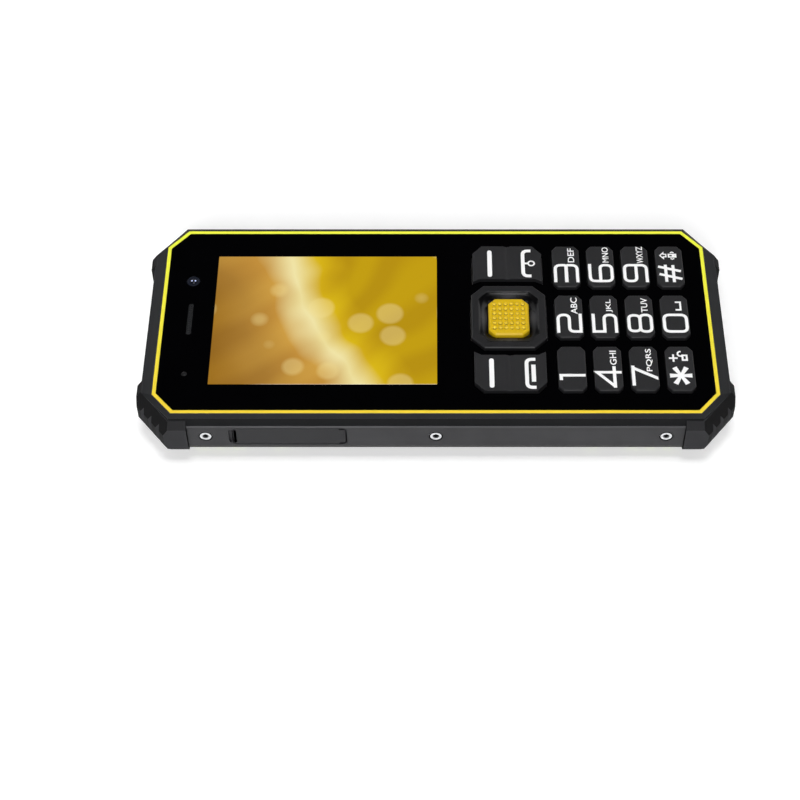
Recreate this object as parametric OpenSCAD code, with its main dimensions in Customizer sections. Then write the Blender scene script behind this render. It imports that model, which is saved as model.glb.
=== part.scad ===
// Rugged keypad handset, lying on its back.
// X runs to the right of the screen, Y to the earpiece end, Z out of the screen.

/* [Body] */
// Overall length over the corner bumpers
body_len = 128.5; // [128.5:0.5:131]
// Overall width over the corner bumpers
body_wid = 57.7; // [57.5:0.1:58.5]
// Thickness from the flat back to the front panel
glass_z = 13.2; // [13.1:0.1:14]
// Height of the side rails
rail_h = 6.65; // [6.3:0.05:6.8]
// Thickness of the chassis wall behind the rails
chassis_wall = 2; // [1.8:0.1:2.2]

/* [Front panel] */
// Width of the accent ring
ring_w = 0.8; // [0.7:0.05:1]
// Thickness of the front panel
panel_t = 1; // [0.9:0.05:1.05]
// Lit length of the display, along the handset
display_len = 48.96; // [46:0.01:49]
// Lit width of the display
display_wid = 36.72; // [34:0.01:38]

/* [Keypad] */
// Length of a number key, along the handset
key_len = 6.08; // [5.6:0.01:6.2]
// Width of a number key
key_wid = 12.2; // [11.6:0.1:12.4]
// Spacing of the key rows
key_pitch_y = 7.74; // [7.6:0.01:7.8]
// Spacing of the key columns
key_pitch_x = 14.68; // [14.5:0.01:14.9]
// How far the keys stand above the panel
key_rise = 0.85; // [0.6:0.05:0.9]
// Gap around each key in the panel
key_gap = 0.2; // [0.15:0.01:0.25]

/* [Rear] */
// Length of the battery door
door_len = 71.7; // [70:0.1:72]
// Width of the battery door
door_wid = 33.4; // [33:0.1:34]
// Length of the camera and speaker plates
plate_len = 21; // [20.5:0.1:21.2]
// Width of the camera and speaker plates
plate_wid = 42.6; // [42:0.1:42.8]
// Thickness of the door and of both plates
plate_t = 1; // [0.8:0.05:1.1]
// Number of loudspeaker slots on each side of the middle
slots_per_side = 5; // [3:1:5]

/* [Hidden] */
$fn = 48;

// Small working values
skin = 0.02;
seam = 0.06;
over = 1;

// Levels through the thickness
panel_z = glass_z - panel_t;
rail_mid = glass_z - 5.82;
rail_top = rail_mid + rail_h / 2;
rail_bot = rail_mid - rail_h / 2;
lip_side_z = glass_z - 0.5;
lip_end_z = glass_z - 1.3;
rear_edge_z = 2.3;
floor_z = plate_t + 0.9;
board_top = glass_z - 4.3;
board_t = 0.9;
board_bot = board_top - board_t;
dome_t = 0.15;
dome_h = 0.2;
plunger_z = board_top + dome_t + dome_h + 0.5;
mat_z = board_top + 1.1;
mat_t = 0.3;
mat_rim = 0.8;
sheet_x = 22;
sheet_foot = 4.5;
sheet_head = 10;
dome_r = 2;
dome_top_r = 1.2;

// Front edge
ledge_w = 1.6;
lip_w = 1.1;
lip_flat = 0.1;
well_step = 0.4;
well_rise = 0.6;

// An octagon is [half length, half width, corner cut along Y, corner cut along X]
half_len = body_len / 2;
half_wid = body_wid / 2;
ring_oct = [half_len - 3.75, half_wid - 2.66, 4.4, 5.05];
panel_oct = inset(ring_oct, ring_w);
ledge_oct = inset(ring_oct, ring_w + ledge_w);
lip_oct = inset(ring_oct, -lip_w);
end_y = half_len - 1.55;
core_x = half_wid - 1.1;
rail_x = half_wid - 0.85;
chassis_x = rail_x - 1.6;
lip_x = half_wid - 1.6;
lip_y = half_len - 1.05;
core_oct = stretched(lip_oct, end_y, core_x);
chassis_oct = stretched(lip_oct, end_y, chassis_x);
cavity_oct = inset(chassis_oct, chassis_wall);
rear_oct = [half_len - 4.35, half_wid - 6.65, 5.6, 5.5];
rear_edge_x = half_wid - 1.8;
rail_half = half_len - 11.4;

// Front features
display_y = half_len - 15.5 - display_len / 2;
sensor_y = half_len - 10.2;
camera_x = 11;
camera_r = 1.45;
indicator_x = -15.5;
indicator_r = 0.62;
camera_half = 3.1;
camera_t = 3;
indicator_t = 1.75;
earpiece_len = 9.2;
earpiece_w = 1.1;
mesh_drop = 0.35;
mesh_t = 0.3;
receiver_len = 5.2;
receiver_wid = 13;
receiver_t = 2.4;
receiver_r = 1;
display_t = 2.1;
glass_side = 2.24;
glass_foot = 3.2;
glass_head = 1.6;

// Keypad
last_row_y = -half_len + 11.8;
key_oct = [key_len / 2, key_wid / 2, 1, 1.2];
key_bevel = 0.2;
ok_bevel = 0.35;
key_flange = 0.45;
flange_z = panel_z - 1;
flange_t = 0.7;
plunger_r = 1.1;
plunger_clear = 0.5;
nav_y = last_row_y + 3 * key_pitch_y + 13.2;
nav_oct = [8.2, 8.95, 2.8, 2.8];
nav_mouth = [6.6, 7.3, 2.1, 2.2];
nav_hole = [4.8, 5.6, 1.6, 1.6];
nav_base = panel_z - 0.7;
nav_top = glass_z + key_rise;
nav_dish_z = glass_z - 0.1;
nav_gap = 0.25;
carrier_oct = [7.4, 8, 2.5, 2.5];
carrier_t = 0.35;
carrier_z = nav_base - 0.35 - carrier_t;
ok_oct = [4.45, 5.2, 1.45, 1.45];
ok_base = panel_z - 0.2;
rocker_in = 10.95;
rocker_ear = 10.1;
rocker_out = 20.75;
rocker_half = 7.75;
rocker_cut = [2.3, 2.1];
rocker_ear_len = 1.6;
rocker_groove_w = 1.9;
rocker_groove_t = 0.32;
rocker_base = panel_z - 0.9;
rocker_press = 4.6;
rocker_rib_r = 0.5;
rocker_rib_len = 6;
nav_rib_r = 0.25;
nav_rib_len = 2;
nav_press = [6, 5.6];
nav_plunger_r = 0.8;
carrier_rib_r = 0.3;
carrier_rib_len = 3;
carrier_rib_in = 2;
carrier_hole_r = 3;
rocker_x = (rocker_in + rocker_out) / 2;

// Rear features
plate_y = half_len - 15.7;
plate_oct = [plate_len / 2, plate_wid / 2, 4.9, 4.8];
door_oct = [door_len / 2, door_wid / 2, 3.4, 3.4];
battery_len = door_len - 7.6;
battery_wid = door_wid - 3.8;
battery_t = 5;
battery_r = 1.5;
battery_z = plate_t;
lens_y = plate_y + 0.7;
lens_oct = [6.2, 5.7, 3.2, 3.1];
lens_ring_w = 0.65;
lens_r = 3.1;
lens_z = 0.45;
lens_clear = 1.4;
window_z = 0.3;
rear_camera_half = 4.3;
rear_camera_top = board_bot - 1.2;
flash_x = -9.8;
flash_r = 1.8;
mic_x = 10;
mic_r = 0.4;
plate_screw_x = 16.6;
plate_screw_r = 1.45;
plate_screw_t = 0.7;
plate_screw_slot = 0.5;
slot_len = 7.35;
slot_w = 0.6;
slot_pitch = 3.05;
slot_y = -half_len + 20;
badge_len = 14.1;
badge_wid = 27.8;
badge_r = 1.8;
field_y = -26.3;
field_len = 8.4;
field_wid = 29.6;
field_r = 0.9;
field_z = 0.06;
relief_t = 0.3;
recess_t = 0.12;
recess_head_y = -4.4;
recess_step_y = -5.2;
recess_foot_y = 0.4 - plate_len / 2;
recess_head_x = 10.2;
recess_step_x = 11.2;
recess_foot_x = 15.6;
speaker_len = 10;
speaker_wid = 30;
speaker_t = 3.6;
speaker_lip = 1;

// Inner fittings
gasket_in = 0.7;
gasket_w = 0.6;
gasket_half_h = 0.4;
rear_wall = 2.8;
rib_t = 1.2;
rib_off = 1.3;
battery_slack = 0.8;
shelf_wid = 30;
shelf_len = 3.8;
shelf_t = 0.8;
shelf_y = end_y - chassis_wall - shelf_len / 2 + 0.2;
board_gap = 1.1;
can_t = 1.3;
// Shield cans, each [left, right, foot end, head end]
cans = [[-8, 16, -30, -4], [-8, 14, 0, 16]];
motor_x = -19;
motor_y = -38;
motor_rise = 2.6;
motor_r = 2.1;
motor_len = 8;
shaft_r = 0.4;
shaft_clear = 0.05;
shaft_len = 12.6;
weight_r = 2.3;
weight_hub_r = 1.2;
weight_len = 3.4;
weight_gap = 0.6;
mic_half = 2;
voice_x = 8;
voice_y = -55;
voice_half = 1.5;
mic_t = 1.1;
antenna_half = 18;
antenna_t = 0.3;
antenna_low = 0.8;
antenna_high = 2.8;

// Side features
rail_edge = 0.2;
screw_y = half_len - 15.2;
screw_r = 1.45;
screw_shank_r = 0.65;
screw_bore_r = 0.7;
screw_head_t = 1.1;
screw_sunk = 0.05;
screw_socket_r = 0.75;
screw_socket_t = 0.75;
screw_len = 2.9;
cover_h = 5.2;
cover_t = 1.3;
card_cover_len = 24.2;
card_cover_y = half_len - 33.05;
usb_cover_len = 11.2;
usb_cover_y = half_len - 40.55;
cover_r = 0.9;
cover_gap = 0.2;
hinge_step = 0.9;
notch_len = 2.4;
notch_t = 0.7;
card_plug = [17.6, 3.2];
usb_plug = [7.6, 2.4];
plug_depth = 1.5;
plug_off = 0.4;
port_x = 24;
port_half_h = 2.1;
card_port_half = 9.9;
usb_port_half = 5;
usb_shell_len = 9;
usb_shell_x = 18;
usb_shell_h = 3.2;
usb_wall = 0.3;
usb_mouth_x = port_x + 0.9;
usb_tongue = [6.7, 0.7];
tongue_drop = 0.9;
socket_back = 0.6;
card_shell_len = 16.6;
card_shell_t = 1.6;
card_shell_x = 8.6;
card_wall = 0.2;
card_mouth_x = port_x + 0.2;

// Sloped grips on the rear edges
trim_w = 1.25;
trim_proud = 0.08;
inlay_t = 0.6;
grip_x0 = half_wid - 9.7;
grip_x1 = half_wid - 2.95;
grip_y0 = 28.6;
grip_y1 = 35.4;
grip_z0 = 0.12;
grip_z1 = rear_slope_z(grip_x1) + 0.06;
bar_x0 = half_wid - 5.55;
bar_x1 = half_wid - 3;
bar_y0 = half_len - 23.6;
bar_w = 1.6;
bar_pitch = 3.9;
bar_lean = 1.75;
inlay_cut = 2;

// Corner pads: the slanted face runs between the two cuts
pad_end_y = rail_half + 0.1;
pad_cut_y = 6.32;
pad_cut_x = 7.8;
pad_nose_x = half_wid - 12.2;
pad_foot_x = half_wid - 13.9;
pad_foot_in = 0.6;
pad_root_x = 2;
pad_back = [6, 2];
groove_step = 2.85;
groove_w = 0.9;
// Levels of a pad, each [height, side drawn in by, slant drawn in by, end drawn in by]
pad_levels = [
    [rear_edge_z, 1.2, 1.6, 1.6], [rear_edge_z + 1.8, 0, 0.4, 0.4],
    [rear_edge_z + 2.9, 0, 0, 0], [rail_top - 1.9, 0, 0, 0],
    [rail_top - 0.2, 0, 0.85, 0], [lip_side_z - 0.6, 1.15, 1.7, 1.1]
];

// Torch at the earpiece end
hood_r = 7;
hood_z = 0.5;
hood_reach = half_len - 0.95;
torch_r = 2.3;
torch_len = 2.9;
torch_sunk = 0.35;
torch_clear = 0.6;
hood_root = 2.3;
hood_step = 0.4;

// Octagon with every side moved inwards by d
function inset(o, d) =
    let (k = d * (o[2] + o[3] - norm([o[2], o[3]])))
    [o[0] - d, o[1] - d, o[2] - k / o[3], o[3] - k / o[2]];

// Octagon with new half sizes whose corner cuts stay on the same lines
function stretched(o, hl, hw) =
    let (m = o[2] / o[3], cl = hl - o[0] + o[2] - (o[1] - hw) * m)
    [hl, hw, cl, cl / m];

function rear_slope_z(x) =
    rear_edge_z * (x - rear_oct[1]) / (rear_edge_x - rear_oct[1]);

function key_row_y(row) = last_row_y + (3 - row) * key_pitch_y;

// Places where a plunger meets a dome: keys, rocker ends, four ways and the middle
function dome_sites() = concat(
    [for (c = [-1:1], r = [0:3]) [c * key_pitch_x, key_row_y(r)]],
    [for (s = [-1, 1], e = [-1, 1]) [s * rocker_x, nav_y + e * rocker_press]],
    [for (a = [0:90:270]) [nav_press[0] * cos(a), nav_y + nav_press[1] * sin(a)]],
    [[0, nav_y]]
);

module oct(o) {
    x = o[1];
    y = o[0];
    polygon([
        [x, y - o[2]], [x - o[3], y], [o[3] - x, y], [-x, y - o[2]],
        [-x, o[2] - y], [o[3] - x, -y], [x - o[3], -y], [x, o[2] - y]
    ]);
}

module oct_prism(o, z0, z1) {
    translate([0, 0, z0]) linear_extrude(z1 - z0) oct(o);
}

module block(x0, x1, y0, y1, z0, z1) {
    translate([x0, y0, z0]) cube([x1 - x0, y1 - y0, z1 - z0]);
}

// Flat bar with rounded ends, long along X
module slot_2d(len, w) {
    square([len - w, w], center = true);
    for (s = [-1, 1]) translate([s * (len - w) / 2, 0]) circle(d = w);
}

// Rectangle with round corners
module rounded_2d(sx, sy, r) {
    square([sx - 2 * r, sy], center = true);
    square([sx, sy - 2 * r], center = true);
    for (i = [-1, 1], j = [-1, 1])
        translate([i * (sx / 2 - r), j * (sy / 2 - r)]) circle(r);
}

// Thin rectangle at height z, used as one edge of a hull
module edge_slab(hx, hy, z) {
    translate([-hx, -hy, z]) cube([2 * hx, 2 * hy, skin]);
}

// Outer form of the front shell, with its sloped lip
module bezel_blank() {
    side = stretched(lip_oct, end_y, lip_x);
    head = stretched(lip_oct, lip_y, lip_x);
    hull() {
        oct_prism(inset(ring_oct, -lip_flat), glass_z - skin, glass_z);
        edge_slab(lip_x, side[0] - side[2], lip_side_z);
        edge_slab(head[1] - head[3], lip_y, lip_end_z);
        oct_prism(core_oct, rail_top, rail_top + skin);
    }
}

// Outer form of the rear shell, with its sloped edges
module rear_blank() {
    side = stretched(lip_oct, end_y, rear_edge_x);
    hull() {
        oct_prism(rear_oct, 0, skin);
        oct_prism(side, rear_edge_z, rear_edge_z + skin);
        oct_prism(core_oct, rail_bot - skin, rail_bot);
    }
}

// Strip of an edge slope from [x0, z0] to [x1, z1], of thickness t above it
module slope_strip(x0, z0, x1, z1, t) {
    rotate([90, 0, 0])
        linear_extrude(body_len, center = true)
            polygon([[x0, z0], [x1, z1], [x1, z1 + t], [x0, z0 + t]]);
}

// Trapezoid of a grip in plan, drawn in by d from its inner and end edges
module grip_plan(d) {
    lean = (grip_y1 - grip_y0) / (grip_x1 - grip_x0);
    cut = d * (norm([1, lean]) - lean);
    y0 = grip_y0 - cut;
    y1 = y0 + lean * (grip_x1 - grip_x0 - d);
    polygon([[grip_x0 + d, -y0], [grip_x1, -y1], [grip_x1, y1], [grip_x0 + d, y0]]);
}

module grip_body(d, proud, t) {
    intersection() {
        slope_strip(grip_x0, grip_z0 - proud, grip_x1, grip_z1 - proud, t + proud);
        linear_extrude(rail_bot) grip_plan(d);
    }
}

// Three slanted inlays at each end of each rear slope
module bar_set(z_out) {
    for (s = [0, 1], e = [0, 1], i = [0:2])
        mirror([s, 0, 0]) mirror([0, e, 0]) intersection() {
            slope_strip(bar_x0, rear_slope_z(bar_x0) - z_out, bar_x1,
                rear_slope_z(bar_x1) - z_out, inlay_t + z_out);
            linear_extrude(rail_bot) translate([0, bar_y0 + i * bar_pitch]) polygon([
                [bar_x0, 0], [bar_x1, bar_lean], [bar_x1, bar_lean + bar_w], [bar_x0, bar_w]
            ]);
        }
}

module at_both_sides() {
    children();
    mirror([1, 0, 0]) children();
}

module side_screw_sites() {
    for (s = [0, 1], y = [-screw_y, 0, screw_y])
        mirror([s, 0, 0]) translate([rail_x, y, rail_mid]) rotate([0, -90, 0]) children();
}

module front_bezel() {
    color("#2a2b2e") difference() {
        bezel_blank();
        oct_prism(inset(ring_oct, -seam / 2), panel_z, glass_z + over);
        oct_prism(ledge_oct, rail_top - over, glass_z);
        oct_prism(inset(cavity_oct, -well_step), rail_top - over, rail_top + well_rise);
    }
}

module accent_ring() {
    color("#f2e83c") difference() {
        oct_prism(ring_oct, panel_z, glass_z);
        oct_prism(panel_oct, panel_z - over, glass_z + over);
    }
}

module front_panel() {
    color("#050506") difference() {
        oct_prism(inset(panel_oct, seam / 2), panel_z, glass_z);
        block(-display_wid / 2 - seam, display_wid / 2 + seam, display_y - display_len / 2 - seam,
            display_y + display_len / 2 + seam, panel_z - over, glass_z + over);
        translate([0, 0, panel_z - over]) linear_extrude(panel_t + 2 * over) {
            translate([0, sensor_y]) slot_2d(earpiece_len, earpiece_w);
            translate([camera_x, sensor_y]) circle(camera_r + seam);
            translate([indicator_x, sensor_y]) circle(indicator_r + seam);
            for (c = [-1:1], r = [0:3])
                translate([c * key_pitch_x, key_row_y(r)]) oct(inset(key_oct, -key_gap));
            translate([0, nav_y]) oct(inset(nav_oct, -nav_gap));
            for (s = [0, 1]) mirror([s, 0]) rocker_2d(nav_gap);
        }
    }
}

module display_module() {
    color("#b98f1c") {
        block(-display_wid / 2, display_wid / 2, display_y - display_len / 2,
            display_y + display_len / 2, panel_z - skin, glass_z);
        block(-display_wid / 2 - glass_side, display_wid / 2 + glass_side,
            display_y - display_len / 2 - glass_foot, display_y + display_len / 2 + glass_head,
            panel_z - display_t, panel_z);
    }
}

module earpiece_mesh() {
    color("#202124") translate([0, sensor_y, glass_z - mesh_drop - mesh_t])
        linear_extrude(mesh_t) slot_2d(earpiece_len - seam, earpiece_w - seam);
}

module earpiece_receiver() {
    color("#8f8f93") translate([0, sensor_y, panel_z - receiver_t])
        linear_extrude(receiver_t) rounded_2d(receiver_wid, receiver_len, receiver_r);
}

module front_camera() {
    color("#10131f") translate([camera_x, sensor_y, 0]) {
        translate([0, 0, panel_z - skin]) cylinder(h = panel_t - seam, r = camera_r);
        block(-camera_half, camera_half, -camera_half, camera_half, panel_z - camera_t, panel_z);
    }
}

module indicator_lens() {
    color("#3a3a3d") translate([indicator_x, sensor_y, glass_z - seam - indicator_t])
        cylinder(h = indicator_t, r = indicator_r);
}

// Openings that run through the chassis wall behind the two covers
module port_cut(cover_y, half) {
    block(port_x, half_wid, cover_y - half, cover_y + half,
        rail_mid - port_half_h, rail_mid + port_half_h);
}

module mid_chassis() {
    color("#3b3c40") difference() {
        union() {
            difference() {
                oct_prism(chassis_oct, rail_bot, rail_top);
                oct_prism(cavity_oct, rail_bot - over, rail_top + over);
            }
            for (e = [-1, 1])
                translate([0, e * shelf_y, board_bot - shelf_t / 2])
                    cube([shelf_wid, shelf_len, shelf_t], center = true);
        }
        gasket_ring();
        mirror([1, 0, 0]) port_cut(card_cover_y, card_port_half);
        port_cut(usb_cover_y, usb_port_half);
        side_screw_sites() cylinder(h = 2 * screw_len, r = screw_bore_r);
        torch_bore(torch_r + torch_clear);
    }
}

module torch_bore(r) {
    translate([0, end_y - chassis_wall - over, rail_mid]) rotate([-90, 0, 0])
        cylinder(h = chassis_wall + 3 * over, r = r);
}

module gasket_ring() {
    difference() {
        oct_prism(inset(chassis_oct, gasket_in), rail_bot - gasket_half_h, rail_bot + gasket_half_h);
        oct_prism(inset(chassis_oct, gasket_in + gasket_w), rail_bot - over, rail_bot + over);
    }
}

module housing_gasket() {
    color("#b5482e") gasket_ring();
}

module rear_housing() {
    color("#2d2d2d") difference() {
        rear_blank();
        difference() {
            oct_prism(inset(cavity_oct, rear_wall), floor_z, rail_bot + over);
            for (s = [-1, 1]) translate([s * (battery_wid / 2 + rib_off), 0, rail_bot / 2])
                cube([rib_t, battery_len, rail_bot], center = true);
        }
        gasket_ring();
        oct_prism(inset(door_oct, -2 * seam), -over, plate_t);
        cube([battery_wid + battery_slack, battery_len + battery_slack, 3 * floor_z], center = true);
        for (e = [-1, 1]) translate([0, e * plate_y, 0])
            oct_prism(inset(plate_oct, -2 * seam), -over, plate_t);
        translate([0, lens_y, -over]) {
            cylinder(h = floor_z + 2 * over, r = lens_r + lens_clear);
            translate([flash_x, 0, 0]) cylinder(h = floor_z + 2 * over, r = flash_r);
            translate([mic_x, 0, 0]) cylinder(h = floor_z + 2 * over, r = mic_r);
        }
        for (s = [-1, 1]) translate([s * plate_screw_x, plate_y, -over])
            cylinder(h = floor_z + over, r = screw_bore_r);
        translate([0, slot_y, 0])
            cube([speaker_wid - 2 * speaker_lip, speaker_len - speaker_lip, 3 * floor_z], center = true);
        at_both_sides() grip_body(0, inlay_cut, inlay_t);
        bar_set(inlay_cut);
        hood_shape(seam);
    }
}

// One level of a corner pad, between the end of a rail and the end face
module bumper_slab(level) {
    x = half_wid - level[1];
    y = half_len - level[3];
    n = [pad_cut_y, pad_cut_x] / norm([pad_cut_y, pad_cut_x]);
    reach = n * [half_wid, half_len - pad_cut_y] - level[2];
    translate([0, 0, level[0]]) linear_extrude(skin) polygon([
        [chassis_x - pad_root_x, pad_end_y], [x, pad_end_y], [x, (reach - n[0] * x) / n[1]],
        [(reach - n[1] * y) / n[0], y], [pad_nose_x, y], [pad_foot_x, end_y - pad_foot_in],
        [chassis_x - pad_back[0], end_y - pad_back[1]]
    ]);
}

// One corner pad: bevelled top and bottom, with upright grooves on its slanted face
module bumper_blank() {
    face = [half_wid - pad_cut_x / 2, half_len - pad_cut_y / 2];
    turn = -atan2(pad_cut_y, pad_cut_x);
    difference() {
        hull() for (level = pad_levels) bumper_slab(level);
        for (i = [-1:1])
            translate([face[0], face[1], 0]) rotate([0, 0, turn])
                translate([i * groove_step, 0, 0]) rotate([0, 0, 45])
                    translate([-groove_w / 2, -groove_w / 2, 0]) cube([groove_w, groove_w, glass_z]);
    }
}

module corner_bumpers() {
    color("#333437") difference() {
        for (s = [0, 1], e = [0, 1]) mirror([s, 0, 0]) mirror([0, e, 0]) bumper_blank();
        bezel_blank();
        rear_blank();
        oct_prism(chassis_oct, 0, glass_z);
    }
}

// Rail section along Y on the right-hand side
module rail_bar() {
    translate([0, 0, rail_mid]) rotate([90, 0, 0])
        linear_extrude(2 * rail_half, center = true) polygon([
            [chassis_x, -rail_h / 2], [rail_x - rail_edge, -rail_h / 2], [rail_x, rail_edge - rail_h / 2],
            [rail_x, rail_h / 2 - rail_edge], [rail_x - rail_edge, rail_h / 2], [chassis_x, rail_h / 2]
        ]);
}

// Rounded cover outline seen from the side, standing on the right-hand rail
module cover_outline(len, grow, x0, x1) {
    translate([x0, 0, rail_mid]) rotate([90, 0, 90])
        linear_extrude(x1 - x0) rounded_2d(len + 2 * grow, cover_h + 2 * grow, cover_r + grow);
}

// Fingernail hollow across the free end of a cover
module nail_notch(cover_len) {
    translate([0, cover_len / 2, 0])
        cover_outline(notch_len, -2 * cover_gap, rail_x - notch_t, rail_x + over);
}

module rail_with_opening(cover_y, cover_len, notch) {
    difference() {
        rail_bar();
        translate([0, cover_y, 0]) {
            cover_outline(cover_len, cover_gap, chassis_x - over, rail_x + over);
            if (notch) nail_notch(cover_len);
        }
        side_screw_sites() {
            translate([0, 0, -over])
                cylinder(h = over + screw_head_t + screw_sunk, r = screw_r + 2 * screw_sunk);
            cylinder(h = 2 * screw_len, r = screw_bore_r);
        }
    }
}

module left_rail() {
    color("#4a4a4c") mirror([1, 0, 0]) rail_with_opening(card_cover_y, card_cover_len, true);
}

module right_rail() {
    color("#4a4a4c") rail_with_opening(usb_cover_y, usb_cover_len, false);
}

module side_screws() {
    color("#c9cacc") side_screw_sites() difference() {
        union() {
            translate([0, 0, screw_sunk]) cylinder(h = screw_head_t, r = screw_r);
            cylinder(h = screw_len, r = screw_shank_r);
        }
        translate([0, 0, -over]) cylinder(h = over + screw_socket_t, r = screw_socket_r, $fn = 6);
    }
}

// Cover on the right-hand rail: plate, hinge barrel at its lower end and plug inside
module cover(cover_y, len, plug) {
    barrel_r = cover_t / 2;
    translate([0, cover_y, 0]) {
        difference() {
            cover_outline(len, 0, rail_x - cover_t, rail_x);
            block(chassis_x, half_wid, -len, barrel_r - len / 2, 0, glass_z);
            for (e = [0, 1]) translate([0, 0, rail_mid]) mirror([0, 0, e])
                block(chassis_x, half_wid, -len, barrel_r + hinge_step - len / 2,
                    (cover_h - cover_r) / 2, cover_h);
        }
        translate([rail_x - barrel_r, barrel_r - len / 2, rail_mid])
            cylinder(h = cover_h - cover_r, r = barrel_r, center = true);
        translate([0, plug_off, rail_mid]) rotate([90, 0, 90])
            translate([0, 0, rail_x - cover_t - plug_depth])
                linear_extrude(plug_depth + skin) rounded_2d(plug[0], plug[1], cover_r / 2);
    }
}

module card_cover() {
    color("#404042") mirror([1, 0, 0]) difference() {
        cover(card_cover_y, card_cover_len, card_plug);
        translate([0, card_cover_y, 0]) nail_notch(card_cover_len);
    }
}

module usb_cover() {
    color("#2c2c2e") cover(usb_cover_y, usb_cover_len, usb_plug);
}

module camera_plate() {
    color("#2b2b2b") difference() {
        translate([0, plate_y, 0]) oct_prism(plate_oct, 0, plate_t);
        translate([0, lens_y, -over]) {
            oct_prism(inset(lens_oct, -seam), 0, plate_t + 2 * over);
            translate([flash_x, 0, 0]) cylinder(h = plate_t + 2 * over, r = flash_r);
            translate([mic_x, 0, 0]) cylinder(h = plate_t + 2 * over, r = mic_r);
        }
        for (s = [-1, 1]) translate([s * plate_screw_x, plate_y, -over]) {
            cylinder(h = over + plate_screw_t + screw_sunk, r = plate_screw_r + 2 * screw_sunk);
            cylinder(h = plate_t + 2 * over, r = screw_bore_r);
        }
    }
}

module plate_screws() {
    color("#1d1d1e") for (s = [-1, 1])
        translate([s * plate_screw_x, plate_y, 0]) difference() {
            union() {
                cylinder(h = plate_screw_t, r = plate_screw_r);
                cylinder(h = floor_z - seam, r = screw_shank_r);
            }
            cube([3 * plate_screw_r, plate_screw_slot, plate_screw_t], center = true);
        }
}

module camera_ring() {
    color("#c6e016") translate([0, lens_y, 0]) difference() {
        oct_prism(lens_oct, 0, plate_t);
        oct_prism(inset(lens_oct, lens_ring_w), -over, plate_t + over);
    }
}

module camera_window() {
    color("#08090c") translate([0, lens_y, 0]) difference() {
        oct_prism(inset(lens_oct, lens_ring_w + seam / 2), window_z, plate_t);
        cylinder(h = 3 * over, r = lens_r + seam);
    }
}

module rear_camera() {
    half = rear_camera_half;
    color("#141722") translate([0, lens_y, 0]) {
        translate([0, 0, lens_z]) cylinder(h = floor_z - lens_z + skin, r = lens_r);
        block(-half, half, -half, half, floor_z, rear_camera_top);
    }
}

module flash_lens() {
    color("#d9d7c4") translate([flash_x, lens_y, seam])
        cylinder(h = floor_z - 2 * seam, r = flash_r - seam);
}

// Door set back by the depth of its relief, with one plain field left standing
module battery_door() {
    color("#232324") {
        oct_prism(door_oct, relief_t, plate_t);
        translate([0, field_y, field_z]) linear_extrude(plate_t - field_z)
            rounded_2d(field_wid, field_len, field_r);
    }
}

module badge_inlay() {
    color("#050505") translate([0, 0, field_z]) linear_extrude(relief_t - field_z)
        rounded_2d(badge_wid, badge_len, badge_r);
}

module speaker_plate() {
    color("#2b2b2b") difference() {
        translate([0, -plate_y, 0]) oct_prism(plate_oct, 0, plate_t);
        for (s = [-1, 1], i = [0:slots_per_side - 1])
            translate([s * slot_pitch * (i + 0.5), slot_y, -over]) rotate([0, 0, 90])
                linear_extrude(plate_t + 2 * over) slot_2d(slot_len, slot_w);
        translate([0, -plate_y, -over]) linear_extrude(over + recess_t) polygon([
            [-recess_head_x, recess_head_y], [recess_head_x, recess_head_y],
            [recess_step_x, recess_step_y], [recess_foot_x, recess_foot_y],
            [-recess_foot_x, recess_foot_y], [-recess_step_x, recess_step_y]
        ]);
    }
}

module loudspeaker() {
    color("#6d6e70") translate([0, slot_y, 0]) {
        translate([0, 0, floor_z]) linear_extrude(speaker_t)
            rounded_2d(speaker_wid, speaker_len, speaker_lip);
        translate([0, 0, plate_t + seam]) linear_extrude(floor_z - plate_t)
            rounded_2d(speaker_wid - 3 * speaker_lip, speaker_len - 2 * speaker_lip, speaker_lip);
    }
}

module grip_strips() {
    color("#3c3d3f") at_both_sides() grip_body(trim_w, 0, inlay_t);
}

module grip_trim() {
    color("#c6e016") at_both_sides() difference() {
        grip_body(0, trim_proud, inlay_t);
        translate([0, 0, -over]) linear_extrude(rail_bot + over) grip_plan(trim_w);
    }
}

module accent_bars() {
    color("#c6e016") bar_set(trim_proud);
}

// Half-round hood, grown by g
module hood_shape(g) {
    intersection() {
        translate([0, hood_reach - hood_r, hood_z - g])
            cylinder(h = rail_top - hood_z + g, r = hood_r + g);
        block(-half_wid, half_wid, end_y - hood_root - g, half_len, 0, rail_top);
    }
}

module torch_hood() {
    color("#303133") difference() {
        hood_shape(0);
        oct_prism(chassis_oct, rail_bot, rail_top + over);
        oct_prism(inset(rear_oct, -hood_step), -over, rail_bot);
        gasket_ring();
        torch_bore(torch_r + seam);
    }
}

module torch_lens() {
    color("#e6e6dc") translate([0, hood_reach - torch_sunk, rail_mid]) rotate([90, 0, 0])
        cylinder(h = torch_len, r = torch_r);
}

module main_board() {
    color("#1f5a35") difference() {
        oct_prism(inset(cavity_oct, board_gap), board_bot, board_top);
        block(usb_shell_x - 2 * cover_gap, half_wid, usb_cover_y - usb_port_half,
            usb_cover_y + usb_port_half, 0, glass_z);
    }
}

module shield_cans() {
    color("#b9bbbd") for (c = cans) block(c[0], c[1], c[2], c[3], board_bot - can_t, board_bot);
}

// Keypad area, drawn in by d on all sides
module sheet_block(d, z0, z1) {
    block(d - sheet_x, sheet_x - d, last_row_y - sheet_foot + d, nav_y + sheet_head - d, z0, z1);
}

module dome_sheet() {
    color("#c9b86a") {
        sheet_block(0, board_top, board_top + dome_t);
        for (p = dome_sites()) translate([p[0], p[1], board_top])
            cylinder(h = dome_t + dome_h, r1 = dome_r, r2 = dome_top_r);
    }
}

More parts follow.
